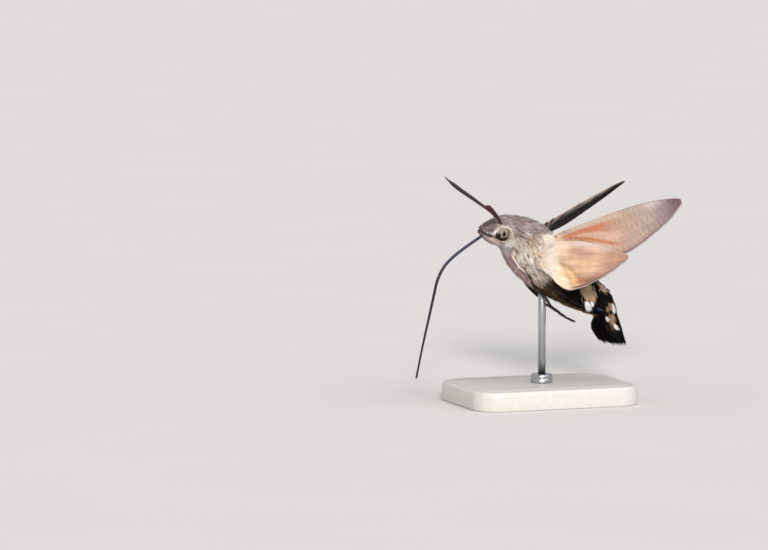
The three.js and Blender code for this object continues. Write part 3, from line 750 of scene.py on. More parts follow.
def make_coat():
    one = lambda t, a: np.ones_like(t)
    # face: short hair lying forward to the snout; crown: back from between the feelers
    coat("coat_head", 11, 19000, 0.02, 3.2,
         weight=lambda t, a: 1.0 + 1.5 * (1 - ease(t, 1.5, 3.0)),
         length=lambda t, a, r: r.uniform(0.85, 1.15, len(t)) * mix(0.26, 0.75, ease(t, 0.9, 3.1)),
         width=lambda t, a, r: mix(0.045, 0.065, ease(t, 1.2, 3.1)),
         way=lambda t, a, r: np.where(t + r.normal(0, 0.12, len(t)) < 1.15, 180, 0) + r.normal(0, 12, len(t)) + 14 * ease(a, 90, 120) * ease(t, 1.6, 2.6),
         depth=lambda t, a, r: coat_depth(t, a) + 0.03,
         tip=lambda t, a, r: r.uniform(-0.05, 0.04, len(t)) + 0.05 * (1 - ease(a, 20, 50)) * (1 - ease(t, 1.4, 2.0)),
         clumps=4200, pull=0.5, slot="coat_grey", stand=0.035, tone=0.30, dark=0.14, highlight_share=0.07, spread=0.2)
    coat("coat_chest_back", 12, 18500, 3.0, 6.95,
         weight=lambda t, a: 1.0 - ease(a, 66, 74),
         length=lambda t, a, r: r.uniform(0.8, 1.25, len(t)) * mix(0.85, 1.35, ease(t, 3.5, 6.4)),
         width=0.058, way=lambda t, a, r: r.normal(0, 7, len(t)) - 6 * ease(a, 20, 60),
         depth=lambda t, a, r: coat_depth(t, a) + 0.05, tip=lambda t, a, r: r.uniform(-0.12, 0.06, len(t)),
         clumps=3400, pull=0.62, slot="coat_grey", tone=0.28, stand=0.06, dark=0.13, highlight_share=0.08, spread=0.2)
    for word, turns, seed in (("left", (64, 181), 13), ("right", (179, 296), 14)):
        coat(f"coat_chest_{word}", seed, 19000, 2.9, 7.1,
             weight=lambda t, a: 1.0 + 0.3 * (1 - ease(a, 125, 140)),
             length=lambda t, a, r: r.uniform(0.8, 1.25, len(t)) * mix(1.35, 0.75, ease(a, 122, 140)) * mix(0.7, 1.0, ease(t, 2.9, 3.8))
             * (1 - 0.6 * ease(t, 4.7, 5.6) * band(a, 60, 97, 5)),
             width=lambda t, a, r: mix(0.062, 0.05, ease(a, 120, 140)),
             way=lambda t, a, r: r.normal(0, 6, len(t)) + 10 + 9 * np.sin(t * 3 + a / 14),
             depth=lambda t, a, r: coat_depth(t, a) + 0.05, tip=lambda t, a, r: r.uniform(-0.14, 0.06, len(t)),
             clumps=1900, pull=0.74, slot="coat_grey", turns=turns, tone=0.36, stand=0.08, dark=0.20, highlight_share=0.13, spread=0.24,
             calm=lambda t, a: ease(a - 3 * (t - 4), 126, 140))
    for word, turns, seed in (("left", (0, 180), 15), ("right", (180, 360), 16)):
        coat(f"coat_abdomen_{word}", seed, 13500, 6.85, 11.1,
             weight=lambda t, a: 1.0 + 0 * t,
             length=lambda t, a, r: r.uniform(0.75, 1.25, len(t)) * mix(1.1, 0.95, ease(t, 7.5, 9)),
             width=0.09, way=lambda t, a, r: r.normal(0, 7, len(t)),
             depth=lambda t, a, r: coat_depth(t, a) + 0.05, tip=lambda t, a, r: r.uniform(-0.14, 0.06, len(t)),
             clumps=700, pull=0.7, slot="coat_dark", turns=turns, material=COAT_DARK, top=1.25, tone=0.3)
    make_palp_coat()
    make_eye_ring()
    make_side_tufts()
    make_tail()


def make_palp_coat():
    rng = np.random.default_rng(21)
    lines, normals, uv = [], [], []
    for side in (1, -1):
        n = 3400
        s, g = rng.uniform(0.02, 0.97, n), rng.uniform(0, 2 * np.pi, n)
        length = rng.uniform(0.28, 0.45, n)
        rows, ups = [], []
        for k in (0, 0.45, 1):
            at = np.clip(s + k * length / PALP[side].length, 0, 1.0)
            over = np.maximum(0, s + k * length / PALP[side].length - 1) * PALP[side].length
            p, way, u, v = PALP[side].at(at)
            normal = np.cos(g)[:, None] * u + np.sin(g)[:, None] * v
            r = palp_radius(at) - 0.15 + 0.15 * (1 - (1 - k) ** 1.6) + rng.uniform(-0.01, 0.02, n) * k
            rows.append(p + normal * r[:, None] + way * over[:, None])
            ups.append(normal)
        lines.append(np.stack(rows, 1))
        normals.append(np.stack(ups, 1))
        uv.append(np.stack([0.01 + 0.48 * g / (2 * np.pi) + (0.5 if side < 0 else 0), 0.02 + 0.95 * s], -1))
    lines, normals, uv = np.concatenate(lines), np.concatenate(normals), np.concatenate(uv)
    keep = ~((np.abs(lines[:, :, 0]) < 0.06).any(1))
    colour = hair_tint(rng, palp_colour(lines[:, 0]), 0.14, 0.6, 1.08, 3)
    locks("coat_palps", lines[keep], normals[keep], rng.uniform(0.045, 0.065, keep.sum()), colour[keep], uv[keep], COAT, "coat_grey",
          taper=(1.0, 0.85))


def make_eye_ring():
    """Short pale hair that frames each eye and leans over its rim."""
    rng = np.random.default_rng(22)
    n = 1500
    lines, normals, uv = [], [], []
    for side in (1, -1):
        g = np.linspace(0, 2 * np.pi, n, endpoint=False) + rng.normal(0, 0.02, n)
        far = rng.uniform(1.05, 1.24, n)
        corner = (0.10 * np.exp(-(((g - np.radians(138)) / 0.55) ** 2)) + 0.10 * np.exp(-(((g - np.radians(75)) / 0.6) ** 2))
                  - 0.15 * np.exp(-(((g - np.radians(275)) / 0.85) ** 2)))
        rows = []
        for k in (0, 0.5, 1):
            reach = far - (0.11 + corner - 0.13 * np.exp(-(((g - np.radians(205)) / 0.7) ** 2))) * k + 0.03 * k * rng.uniform(-1, 1, n)
            y = EYE_AT[1] + EYE_HALF[1] * reach * np.cos(g + 0.12 * k)
            z = EYE_AT[2] + EYE_HALF[2] * reach * np.sin(g + 0.12 * k)
            rows.append((y, z))
        line = []
        for k, (y, z) in enumerate(rows):
            x = surface_x(y, z)
            dome = EYE_AT[0] + EYE_HALF[0] * np.sqrt(np.maximum(0, 1 - ((y - EYE_AT[1]) / EYE_HALF[1]) ** 2 - ((z - EYE_AT[2]) / EYE_HALF[2]) ** 2))
            x = np.maximum(x, np.where(dome > EYE_AT[0] + 0.01, dome + 0.04, 0))
            line.append(np.stack([side * (x + [-0.16, 0.0, 0.04][k]), y, z], -1))
        lines.append(np.stack(line, 1))
        outward = np.tile(np.array([side * 0.9, 0.0, 0.0]), (n, 1)) + 0.2 * np.stack([0 * g, np.cos(g), np.sin(g)], -1)
        normals.append(np.repeat(unit(outward)[:, None], 3, axis=1))
        uv.append(np.stack([0.25 + 0.2 * far / 1.4 * np.cos(g) + (0.5 if side < 0 else 0), 0.5 + 0.4 * far / 1.4 * np.sin(g)], -1))
    lines, normals, uv = np.concatenate(lines), np.concatenate(normals), np.concatenate(uv)
    p = lines[:, 0]
    turn_of = np.degrees(np.arctan2(p[:, 2] - EYE_AT[2], p[:, 1] - EYE_AT[1]))
    c = np.tile(linear("#c3b2a8"), (len(p), 1))
    c = mix(c, linear("#a8968c"), ease(-p[:, 1], 7.3, 7.9)[:, None])
    c = mix(c, linear("#dfd3ce"), ease(np.cos(np.radians(turn_of - 5)), -0.1, 0.7)[:, None] * 0.85)
    c = face_marks(c, p)
    good = clear_of_eyes(lines[:, :1], 1.0)
    locks("coat_eye_rings", lines[good], normals[good], rng.uniform(0.045, 0.065, good.sum()),
          hair_tint(rng, c, 0.10, 0.96, 0.92, 3)[good], uv[good], COAT, "coat_grey", taper=(1.0, 0.8))


def surface_x(y, z):
    """Half width of the head where it is cut at y, z."""
    t, a = np.meshgrid(np.linspace(0.6, 4.0, 120), np.linspace(25, 155, 120), indexing="ij")
    p = body_point(t, a).reshape(-1, 3)
    tree = KDTree(len(p))
    for i, q in enumerate(p):
        tree.insert((q[1], q[2], 0), i)
    tree.balance()
    return np.array([p[tree.find((yy, zz, 0))[1], 0] for yy, zz in zip(y, z)])


# Tufts that stand out of the abdomen's sides: place t, turn; reach in rings and degrees; number;
# length; way; how far tips stand off; colour.
SIDE_TUFTS = [
    (8.32, 72, 0.34, 12, 460, 1.9, 60, 0.30, "#d0b291"),
    (8.50, 84, 0.20, 8, 220, 1.5, 44, 0.24, "#b89773"),
    (9.00, 48, 0.22, 10, 240, 1.2, 6, 0.22, "#d2ad8e"),
    (8.57, 112, 0.07, 3, 170, 2.1, 40, 0.22, "#ffffff"),
    (8.76, 105, 0.05, 2, 70, 1.2, 34, 0.20, "#ffffff"),
    # a small blue tuft: painted sheen on the dark abdomen
    (9.45, 117, 0.10, 5, 60, 0.9, 10, 0.08, "#26374f"),
    (9.85, 83, 0.10, 3, 90, 1.6, 0, 0.20, "#a58365"),
    (10.70, 82, 0.10, 2, 45, 1.5, 2, 0.20, "#a3826a"),
    (10.18, 66, 0.08, 3, 120, 1.5, 5, 0.26, "#ffffff"),
    (9.72, 97, 0.08, 2, 30, 1.9, 0, 0.14, "#967659"),
    (10.55, 95, 0.08, 2, 30, 2.0, 0, 0.14, "#a8815a"),
    (10.75, 116, 0.06, 3, 70, 0.8, -24, 0.18, "#ffffff"),
    (11.15, 92, 0.10, 2, 30, 1.2, -6, 0.16, "#b39272"),
    (11.46, 89, 0.06, 3, 90, 1.4, -20, 0.20, "#ffffff"),
]


def make_side_tufts():
    rng = np.random.default_rng(31)
    lines, normals, colours, widths, uv = [], [], [], [], []
    for t0, a0, wt, wa, count, length, way, off, code in SIDE_TUFTS:
        for side in (1, -1):
            t = t0 + rng.normal(0, wt / 2, count)
            a = a0 + rng.normal(0, wa / 2, count)
            a = a if side > 0 else 360 - a
            lead = gather(rng, t, a, max(6, count // 30))[1]
            li, no = laid(rng, t, a, length * rng.uniform(0.45, 1.35, count), way + rng.normal(0, 8, count),
                          0.4, off * rng.uniform(0.4, 1.1, count), lead, 0.3, steps=(0, 0.5, 1), rise=1.3)
            pale = code == "#ffffff"
            c = hair_tint(rng, np.tile(linear(code), (count, 1)), 0.12 if pale else 0.26, 0.9 if pale else 0.6, 1.1, 3)
            lines.append(li); normals.append(no); colours.append(c)
            widths.append(rng.uniform(0.05, 0.09, count)); uv.append(body_uv(t, a, 6.85, 13))
    locks("coat_side_tufts", np.concatenate(lines), np.concatenate(normals), np.concatenate(widths),
          np.concatenate(colours), np.concatenate(uv), COAT, "coat_dark", taper=(1.0, 0.9))


def make_tail():
    """Long black scale hair from the tail's root to a ragged edge, filling the fan."""
    rng = np.random.default_rng(32)
    n = 9000
    t = rng.uniform(10.75, 12.3, n)
    a = rng.uniform(0, 360, n)
    inner = rng.uniform(0, 1, n) < 0.45
    t = np.where(inner, rng.uniform(11.8, 12.3, n), t)
    end = np.clip(t + rng.uniform(0.75, 1.4, n), 12.2, 13.0)
    end = np.where(inner, rng.uniform(12.72, 13.0, n), end)
    start = np.where(inner, -0.75, -coat_depth(t, a) - 0.05)
    stop = np.where(inner, rng.uniform(-1.05, 0.0, n), rng.uniform(-0.25, 0.06, n))
    sway = rng.normal(0, 5, n)
    lines, normals = [], []
    for s in (0, 0.5, 1):
        tt, aa = mix(t, end, s), a + sway * s
        p, along, round_, normal = body_frame(np.clip(tt, 0, 13), aa)
        p = body_point(tt, aa, mix(start, stop, 1 - (1 - s) ** 1.5))
        if s == 1:
            long_ = np.where(rng.uniform(0, 1, n) < 0.07, rng.uniform(0.3, 0.75, n), rng.uniform(-0.55, 0.26, n))
            p = p + unit(along) * (long_ * (end > 12.75))[:, None]
        lines.append(p)
        normals.append(normal)
    lines, normals = np.stack(lines, 1), np.stack(normals, 1)
    c = hair_tint(rng, np.tile(linear("#040303"), (n, 1)), 0.35, 0.6, 1.5, 3)
    brown = rng.uniform(0, 1, n) < 0.025
    c[brown] = hair_tint(rng, np.tile(linear("#3a2618"), (brown.sum(), 1)), 0.2, 0.6, 1.2, 3)
    locks("coat_tail", lines, normals, rng.uniform(0.08, 0.13, n), c, body_uv(t, a, 10.6, 13), COAT_DARK, "coat_black", taper=(1.0, 0.9))


# ------------------------------------------------------------------- wings
WING = material("wing_scales", 0.68, bump_scale=9000, bump=0.5, grain=0.10, grain_scale=5000, sheen=0.0, specular=0.08)
# veins: where each leaves the root and meets the edge, as shares of the chord
FORE_VEINS = [(0.04, 0.03), (0.10, 0.08), (0.18, 0.20), (0.24, 0.33), (0.30, 0.46), (0.38, 0.58), (0.46, 0.70), (0.55, 0.82), (0.72, 0.93)]
HIND_VEINS = [(0.30, 0.05), (0.36, 0.20), (0.42, 0.35), (0.48, 0.50), (0.54, 0.64), (0.62, 0.77), (0.72, 0.89)]


def wing_ridge(veins, a, v, span):
    """Height of the veins over the membrane, 0 to 1."""
    out = np.zeros(np.shape(a))
    share = ease(a / span, 0, 0.9) ** 0.8
    for root, edge in veins:
        at = mix(root, edge, share)
        out = np.maximum(out, np.exp(-((v - at) / 0.011) ** 2))
    return out


def lay_on(c, code, w):
    return mix(c, linear(code), np.clip(w, 0, 1)[..., None])


def fore_under(a, v, b):
    """Underside of the forewing: pale edge, orange streak, mauve-grey tip."""
    q = np.stack([a, b, 0 * a], -1)
    wave, fine = ripple(q, 3.0, 41), ripple(q * [1, 0.25, 1], 0.55, 42)
    c = np.broadcast_to(linear("#a88976"), a.shape + (3,))
    c = lay_on(c, "#b99e8b", ease(v, 0.5, 0.75) * (1 - ease(a, 10, 13)))
    c = lay_on(c, "#b09b8b", (1 - ease(v, 0.10, 0.20)) * (1 - ease(a, 11, 15)))
    c = lay_on(c, "#ecd9c6", (1 - ease(a, 1.2, 4.0)))
    rise = 0.19 + 0.014 * np.maximum(a - 5.5, 0)
    streak = ease(a, 2.6, 4.6) * (1 - ease(a + 2 * v, 8.6, 13.0))
    c = lay_on(c, "#ad6a4d", streak * band(v, rise - 0.014 * (a - 2), rise + 0.020 * (a - 2), 0.05) * 0.92)
    drop = np.interp(a, (3.0, 4.7, 5.9, 7.2, 8.3, 9.3, 10.9, 12.5), (0.19, 0.30, 0.39, 0.47, 0.55, 0.63, 0.71, 0.78))
    c = lay_on(c, "#bf9f8a", ease(a, 5, 7) * (1 - ease(a, 11.5, 13.5)) * band(v, rise + 0.02 * (a - 3), drop - 0.06, 0.04) * 0.7)
    c = lay_on(c, "#ab6242", ease(a, 3.0, 4.4) * (1 - ease(a, 10.6, 13.2)) * np.exp(-((v - drop) / 0.045) ** 2) * 0.85)
    for at in (0.055, 0.10):
        c = lay_on(c, "#80614c", ease(a, 0.6, 1.4) * (1 - ease(a, 3.5, 6.0)) * np.exp(-((v - at) / 0.014) ** 2) * 0.6)
    c = lay_on(c, "#a08e83", ease(a + 1.0 * wave, 11.5, 15.5) * 0.85)
    c = lay_on(c, "#8a7978", ease(a + 0.8 * wave, 15.5, 19.5))
    c = lay_on(c, "#685657", ease(a, 19.0, 21.8) * 0.95)
    c = lay_on(c, "#b8aca6", np.exp(-(((a - 17.9) / 1.3) ** 2 + ((v - 0.12) / 0.16) ** 2)) * 0.85)
    c = lay_on(c, "#86706f", ease(v, 0.84, 0.97) * ease(a, 9, 13) * 0.75)
    c = lay_on(c, "#5c484b", band(v, 0.962, 0.985, 0.010) * ease(a, 7, 11) * 0.8)
    for at, where, size in ((1.0, 0.30, 0.16), (2.1, 0.13, 0.22), (2.5, 0.16, 0.16)):
        c = lay_on(c, "#3a2a26", np.exp(-(((a - at) / size) ** 2 + ((v - where) * 3.6 / size) ** 2)))
    across = np.sin(2 * np.pi * (a + 0.20 * b - 0.03 * b * b) / 0.52 + 1.3 * wave + 0.5 * fine)
    return c * (1 + 0.08 * fine + 0.038 * across * ease(a, 8, 14))[..., None]


def fore_upper(a, v, b):
    """Upper side of the forewing: black cross lines on a mauve-grey front band; behind and beyond it the grey-brown is
    painted dark as shade, near black towards the rear, and the leading strip is painted pale as a highlight.
    """
    q = np.stack([a, b, 0 * a], -1)
    wave, fine = ripple(q, 2.5, 43), ripple(q * [1, 0.3, 1], 0.6, 44)
    # dark ground: the wing's grey-brown painted dark as shade
    c = np.broadcast_to(linear("#2f2828"), a.shape + (3,))
    c = lay_on(c, "#a8999a", (1 - ease(v + 0.03 * wave, 0.24, 0.38)) * (1 - ease(a, 16, 21)) * 0.95)
    c = lay_on(c, "#8f8180", band(a, 7.5, 11.0, 0.8) * 0.4 * (1 - ease(v, 0.34, 0.44)))
    # painted highlight along the leading edge
    c = lay_on(c, "#e6ccb2", (1 - ease(v, 0.05, 0.11)) * 0.9)
    for at, bend, wide in ((4.6, 0.9, 0.30), (5.9, 0.8, 0.22), (11.6, -1.6, 0.26), (12.4, -1.5, 0.20)):
        c = lay_on(c, "#141011", np.exp(-((a - at - bend * v - 0.18 * wave) / wide) ** 2) * 0.95)
    for at, where, long_, wide in ((4.0, 0.10, 0.5, 0.10), (5.8, 0.10, 0.35, 0.14), (9.0, 0.20, 0.50, 0.16), (16.1, 0.32, 0.7, 0.16)):
        c = lay_on(c, "#0c0a0b", np.exp(-(((a - at) / long_) ** 2 + ((v - where) / wide) ** 2)) * 0.97)
    c = lay_on(c, "#2c2526", ease(a + wave, 16.5, 20) * 0.75)
    # painted shade: the rear of the wing near black
    c = lay_on(c, "#090706", ease(v + 0.03 * wave, 0.34, 0.50) * 0.95)
    return c * (1 + 0.10 * fine)[..., None]


def hind_under(a, v, b):
    """Underside of the hindwing: cream base, peach, a golden fold with painted shade lines along both its edges, a
    painted shade line at a notch near the inner edge, and a dark edge line.
    """
    q = np.stack([a, b, 0 * a], -1)
    wave, fine = ripple(q, 2.5, 45), ripple(q * [0.35, 1, 1], 0.6, 46)
    c = np.broadcast_to(linear("#bf9c85"), a.shape + (3,))
    c = lay_on(c, "#9a7563", ease(a, 7.5, 11.5) * 0.75)
    c = lay_on(c, "#e2b898", band(v, 0.40, 0.74, 0.07) * band(a, 3.6, 9.2, 0.9) * 0.65)
    c = lay_on(c, "#dfc8ad", 1 - ease(a + 0.5 * wave, 1.2, 4.6))
    c = lay_on(c, "#e5cead", (1 - ease(a, 2.5, 6.0)) * ease(v, 0.62, 0.82))
    fold = 0.46 + 0.045 * (a - 2.2) + 0.014 * (a - 2.2) ** 2
    seam = 0.60 + 0.20 * (a - 3.0)
    c = lay_on(c, "#ebc592", ease(v, fold - 0.02, fold + 0.09) * (1 - 0.75 * ease(v, seam - 0.10, seam + 0.12)) * ease(a, 1.0, 2.8) * (1 - ease(a, 5.0, 6.8)) * 0.95)
    c = lay_on(c, "#ecd4b8", ease(v, seam - 0.02, seam + 0.16) * (1 - ease(a, 4.2, 5.6)) * 0.8)
    # painted shadow line along the seam beside the gold
    c = lay_on(c, "#b58c69", np.exp(-((v - seam - 0.02 * wave) / 0.055) ** 2) * ease(a, 2.5, 3.1) * (1 - ease(a, 3.9, 4.8)) * 0.42)
    # painted shade line along the fold
    c = lay_on(c, "#a67a5f", np.exp(-((v - fold - 0.02 * wave) / 0.05) ** 2) * ease(a, 1.2, 2.6) * (1 - ease(a, 5.2, 7.0)) * 0.5)
    c = lay_on(c, "#bb7450", np.exp(-(((a - 6.2) / 1.3) ** 2 + ((v - 0.87) / 0.06) ** 2)) * 0.9)
    # painted shade of a notch near the inner edge, a dark line
    c = lay_on(c, "#5d3c33", np.exp(-((v - 0.905) / 0.02) ** 2) * band(a, 6.9, 8.8, 0.4) * 0.8)
    c = lay_on(c, "#946a5c", ease(v, 0.80, 0.94) * ease(a, 6.5, 8.5) * 0.75)
    # pale lavender leading strip, a painted reflection off the leading edge
    c = lay_on(c, "#c9b8ae", (1 - ease(v, 0.05, 0.20)) * ease(a, 1.5, 5) * (1 - ease(a, 9.0, 12)) * 0.8)
    c = lay_on(c, "#6d4a4c", band(v, 0.952, 0.985, 0.012) * ease(a, 3.8, 5.2))
    streaks = ripple(np.stack([0.10 * a, v * 4.2, 0 * a], -1), 0.55, 40)
    return c * (1 + 0.07 * fine + 0.10 * streaks)[..., None]


def hind_upper(a, v, b):
    """Upper side of the hindwing: orange with a dark base and a dark edge."""
    q = np.stack([a, b, 0 * a], -1)
    wave, fine = ripple(q, 2.5, 47), ripple(q * [0.35, 1, 1], 0.6, 48)
    c = np.broadcast_to(linear("#cf7d35"), a.shape + (3,))
    c = lay_on(c, "#d99350", band(v, 0.1, 0.45, 0.1) * 0.6)
    c = lay_on(c, "#4a3226", 1 - ease(a + 0.3 * wave, 0.8, 2.2))
    c = lay_on(c, "#3c2a24", ease(v + 0.02 * wave, 0.82, 0.92))
    c = lay_on(c, "#4a332a", ease(a, 11.3, 13))
    return c * (1 + 0.07 * fine)[..., None]


def make_wing(name, stance, span, edges, place, level, under, upper, veins, cad, slot, nu, nv, seed):
    """A thin closed wing with raised veins and pleats."""
    thin, inset = 0.07, 0.20
    a = np.concatenate([np.linspace(-2.6, 0, 18)[:-1], span * (1 - (1 - np.linspace(0, 1, nu + 1)) ** 1.12)])
    v = np.linspace(0, 1, nv + 1) ** 0.95
    a, v = np.meshgrid(a, v, indexing="ij")
    lead, trail = along_table(edges, 1, np.maximum(a, 0)), along_table(edges, 2, np.maximum(a, 0))
    edge = inset * ease(a, 0.2 * span, 0.35 * span) if span > 15 else inset * ease(a, 0.1 * span, 0.2 * span)
    b = mix(lead, trail - edge * np.minimum(1, (trail - lead) / 2.5), v)
    s, c = place(a, b)
    ridge = wing_ridge(veins, a, v, span)
    pleat = 0.07 * ripple(np.stack([2.0 * a / span, 9.0 * v, 0 * a], -1), 2.0, seed + 7) * ease(a, 0, 0.2 * span) * (1 - ease(v, 0.9, 1.0))
    belly = 0.10 * np.sin(np.pi * v) * np.sin(np.pi * np.clip(a / span, 0, 1)) + pleat + 0.03 * ripple(np.stack([a, b, 0 * a], -1), 3.5, seed)
    rim = 1 - 0.6 * ease(np.abs(v - 0.5), 0.46, 0.5)
    low = stance.point(s, c, level + belly + thin / 2 * rim + (0.035 if span > 15 else 0.018) * ridge)       # underside
    high = stance.point(s, c, level + belly - thin / 2 * rim - 0.035 * ridge)      # upper side
    rows, cols = a.shape
    n = rows * cols
    shade = (1 - (0.06 if span > 15 else 0.04) * ridge)[..., None]
    colour = np.concatenate([(under(a, v, b) * shade).reshape(-1, 3), (upper(a, v, b) * shade).reshape(-1, 3)])
    left = stance.side > 0
    quads = [grid_faces(rows, cols, flip=not left), grid_faces(rows, cols, first=n, flip=left)]
    loop = np.concatenate([np.arange(cols - 1), np.arange(rows - 1) * cols + cols - 1,
                           (rows - 1) * cols + np.arange(cols - 1, 0, -1), np.arange(rows - 1, 0, -1) * cols])
    nxt = np.roll(loop, -1)
    rimq = np.stack([nxt, loop, loop + n, nxt + n], -1)
    quads.append(rimq if left else rimq[:, ::-1])
    o = piece(name, np.concatenate([low.reshape(-1, 3), high.reshape(-1, 3)]), [np.vstack(quads)], WING, slot,
              colour=colour, replaces=(cad,))
    return o


def wing_hair(name, stance, span, edges, place, level, under, upper, slot, seed, from_a, count):
    """The pale fringe of the outer edge, and long hair over the wing's base on both sides."""
    rng = np.random.default_rng(seed)
    lines, normals, colours, widths, uv = [], [], [], [], []

    def lay(a, b, da, db, lift, width, colour, tone=0.08):
        """Hair from (a, b) going (da, db), standing off by lift at root and tip."""
        rows = []
        for k in (0, 0.45, 1):
            s, c = place(a + da * k, b + db * k)
            rows.append(stance.point(s, c, level + lift[0] + (lift[1] - lift[0]) * k))
        s, c = place(a, b)
        side = np.sign(lift[1] + lift[0]) if np.ndim(lift[1]) == 0 else np.sign(np.mean(lift[1]))
        nrm = unit(stance.point(s, c, level + 0.1 * (side or 1)) - stance.point(s, c, level))
        lines.append(np.stack(rows, 1))
        normals.append(np.repeat(nrm[:, None], 3, axis=1))
        colours.append(hair_tint(rng, colour, tone, 0.8, 1.06, 3))
        widths.append(width)
        uv.append(np.stack([0.02 + 0.95 * a / span, np.full(len(a), 0.5 if np.mean(lift[1]) > 0 else 0.2) + 0.03 * b], -1))

    n = count
    a = rng.uniform(from_a, span * 0.997, n)
    lead, trail = along_table(edges, 1, a), along_table(edges, 2, a)
    edge = 0.20 * np.minimum(1, (trail - lead) / 2.5)
    slope = (along_table(edges, 2, a + 0.05) - along_table(edges, 2, a - 0.05)) / 0.1
    out = np.stack([-slope, 1 + 0 * slope], -1)
    out = out / np.linalg.norm(out, axis=1, keepdims=True)
    reach = rng.uniform(0.14, 0.24, n)
    tone = np.tile(linear("#cbbab9" if span > 15 else "#d8c3b8"), (n, 1))
    tone = mix(tone, linear("#6f5c60"), (rng.uniform(0, 1, n) < 0.3)[:, None] * 0.8)
    lay(a, trail - edge - 0.04, out[:, 0] * reach + 0.06, out[:, 1] * reach, (0.0, rng.uniform(-0.05, 0.05, n)),
        rng.uniform(0.07, 0.11, n), tone)
    m = count // 2                       # hair of the base, under and upper side
    for side, tint, lift in ((1, under, 0.10), (-1, upper, -0.10)):
        v = rng.uniform(0.02, 0.98, m)
        a = rng.uniform(0.1, 1.8, m) * rng.uniform(0.3, 1.0, m)
        b = mix(along_table(edges, 1, a), along_table(edges, 2, a), v)
        long_ = rng.uniform(0.6, 1.3, m)
        aim = (v - 0.35) * 0.9 + rng.normal(0, 0.12, m)
        c = tint(a + 0.5 * long_, v, b)
        c = mix(c, linear("#f3e6d6" if side > 0 else "#8d7f78"), 0.5 * (1 - ease(a, 0.8, 2.4))[:, None])
        lay(a, b, long_ * np.cos(aim), long_ * np.sin(aim), (side * 0.02, lift * rng.uniform(0.6, 1.7, m)),
            rng.uniform(0.07, 0.11, m), c)
        # hair of the chest that runs out over the wing's root
        k = int(m * 1.1)
        v = rng.uniform(0.10, 1.12, k) if side < 0 else rng.uniform(-0.05, 1.12, k)
        a = rng.uniform(-1.7 + 0.6 * np.maximum(v, 0) ** 2 * (span < 15), 0.5)
        root = np.maximum(a, 0)
        b = mix(along_table(edges, 1, root), along_table(edges, 2, root), v) * 1.1
        long_ = rng.uniform(0.9, 1.9, k)
        aim = (v - 0.40) * (0.9 if span > 15 else 1.25) + rng.normal(0, 0.10, k)
        c = np.tile(linear("#fbeadb" if side > 0 else "#a5968e"), (k, 1))
        c = mix(c, linear("#b08a6c" if side > 0 else "#7d6d65"), (rng.uniform(0, 1, k) ** 2.6)[:, None])
        c = mix(c, linear("#b9a595" if side > 0 else "#8d7f78"), (ease(-a, 0.3, 1.5) * 0.75)[:, None])
        lay(a, b, long_ * np.cos(aim), long_ * np.sin(aim), (side * 0.03, side * rng.uniform(0.04, 0.18 if side > 0 else 0.12, k)),
            rng.uniform(0.035, 0.055, k), c, 0.10)
    locks(name, np.concatenate(lines), np.concatenate(normals), np.concatenate(widths), np.concatenate(colours),
          np.concatenate(uv), WING, slot, thick=0.3, taper=(1.0, 0.85), back=(np.arange(sum(map(len, widths))) < count).astype(float))


def make_wings():
    for word, stance in (("left", LEFT), ("right", RIGHT)):
        k = 0 if word == "left" else 10
        make_wing(f"forewing_{word}_scaled", stance, FORE_SPAN, FORE_EDGES, as_fore, 0.14, fore_under, fore_upper,
                  FORE_VEINS, f"forewing_{word}", "wing_fore", 230, 80, 51 + k)
        make_wing(f"hindwing_{word}_scaled", stance, HIND_SPAN, HIND_EDGES, as_hind, 0.62, hind_under, hind_upper,
                  HIND_VEINS, f"hindwing_{word}", "wing_hind", 150, 80, 52 + k)
        wing_hair(f"forewing_{word}_fringe", stance, FORE_SPAN, FORE_EDGES, as_fore, 0.14, fore_under, fore_upper,
                  "wing_fore", 53 + k, 6.5, 1700)
        wing_hair(f"hindwing_{word}_fringe", stance, HIND_SPAN, HIND_EDGES, as_hind, 0.62, hind_under, hind_upper,
                  "wing_hind", 54 + k, 2.2, 1500)


# -------------------------------------------------------------------- eyes
EYE = material("eye_lens", 0.22, bump_scale=16000, bump=0.25, grain=0.06, grain_scale=9000, specular=0.13)


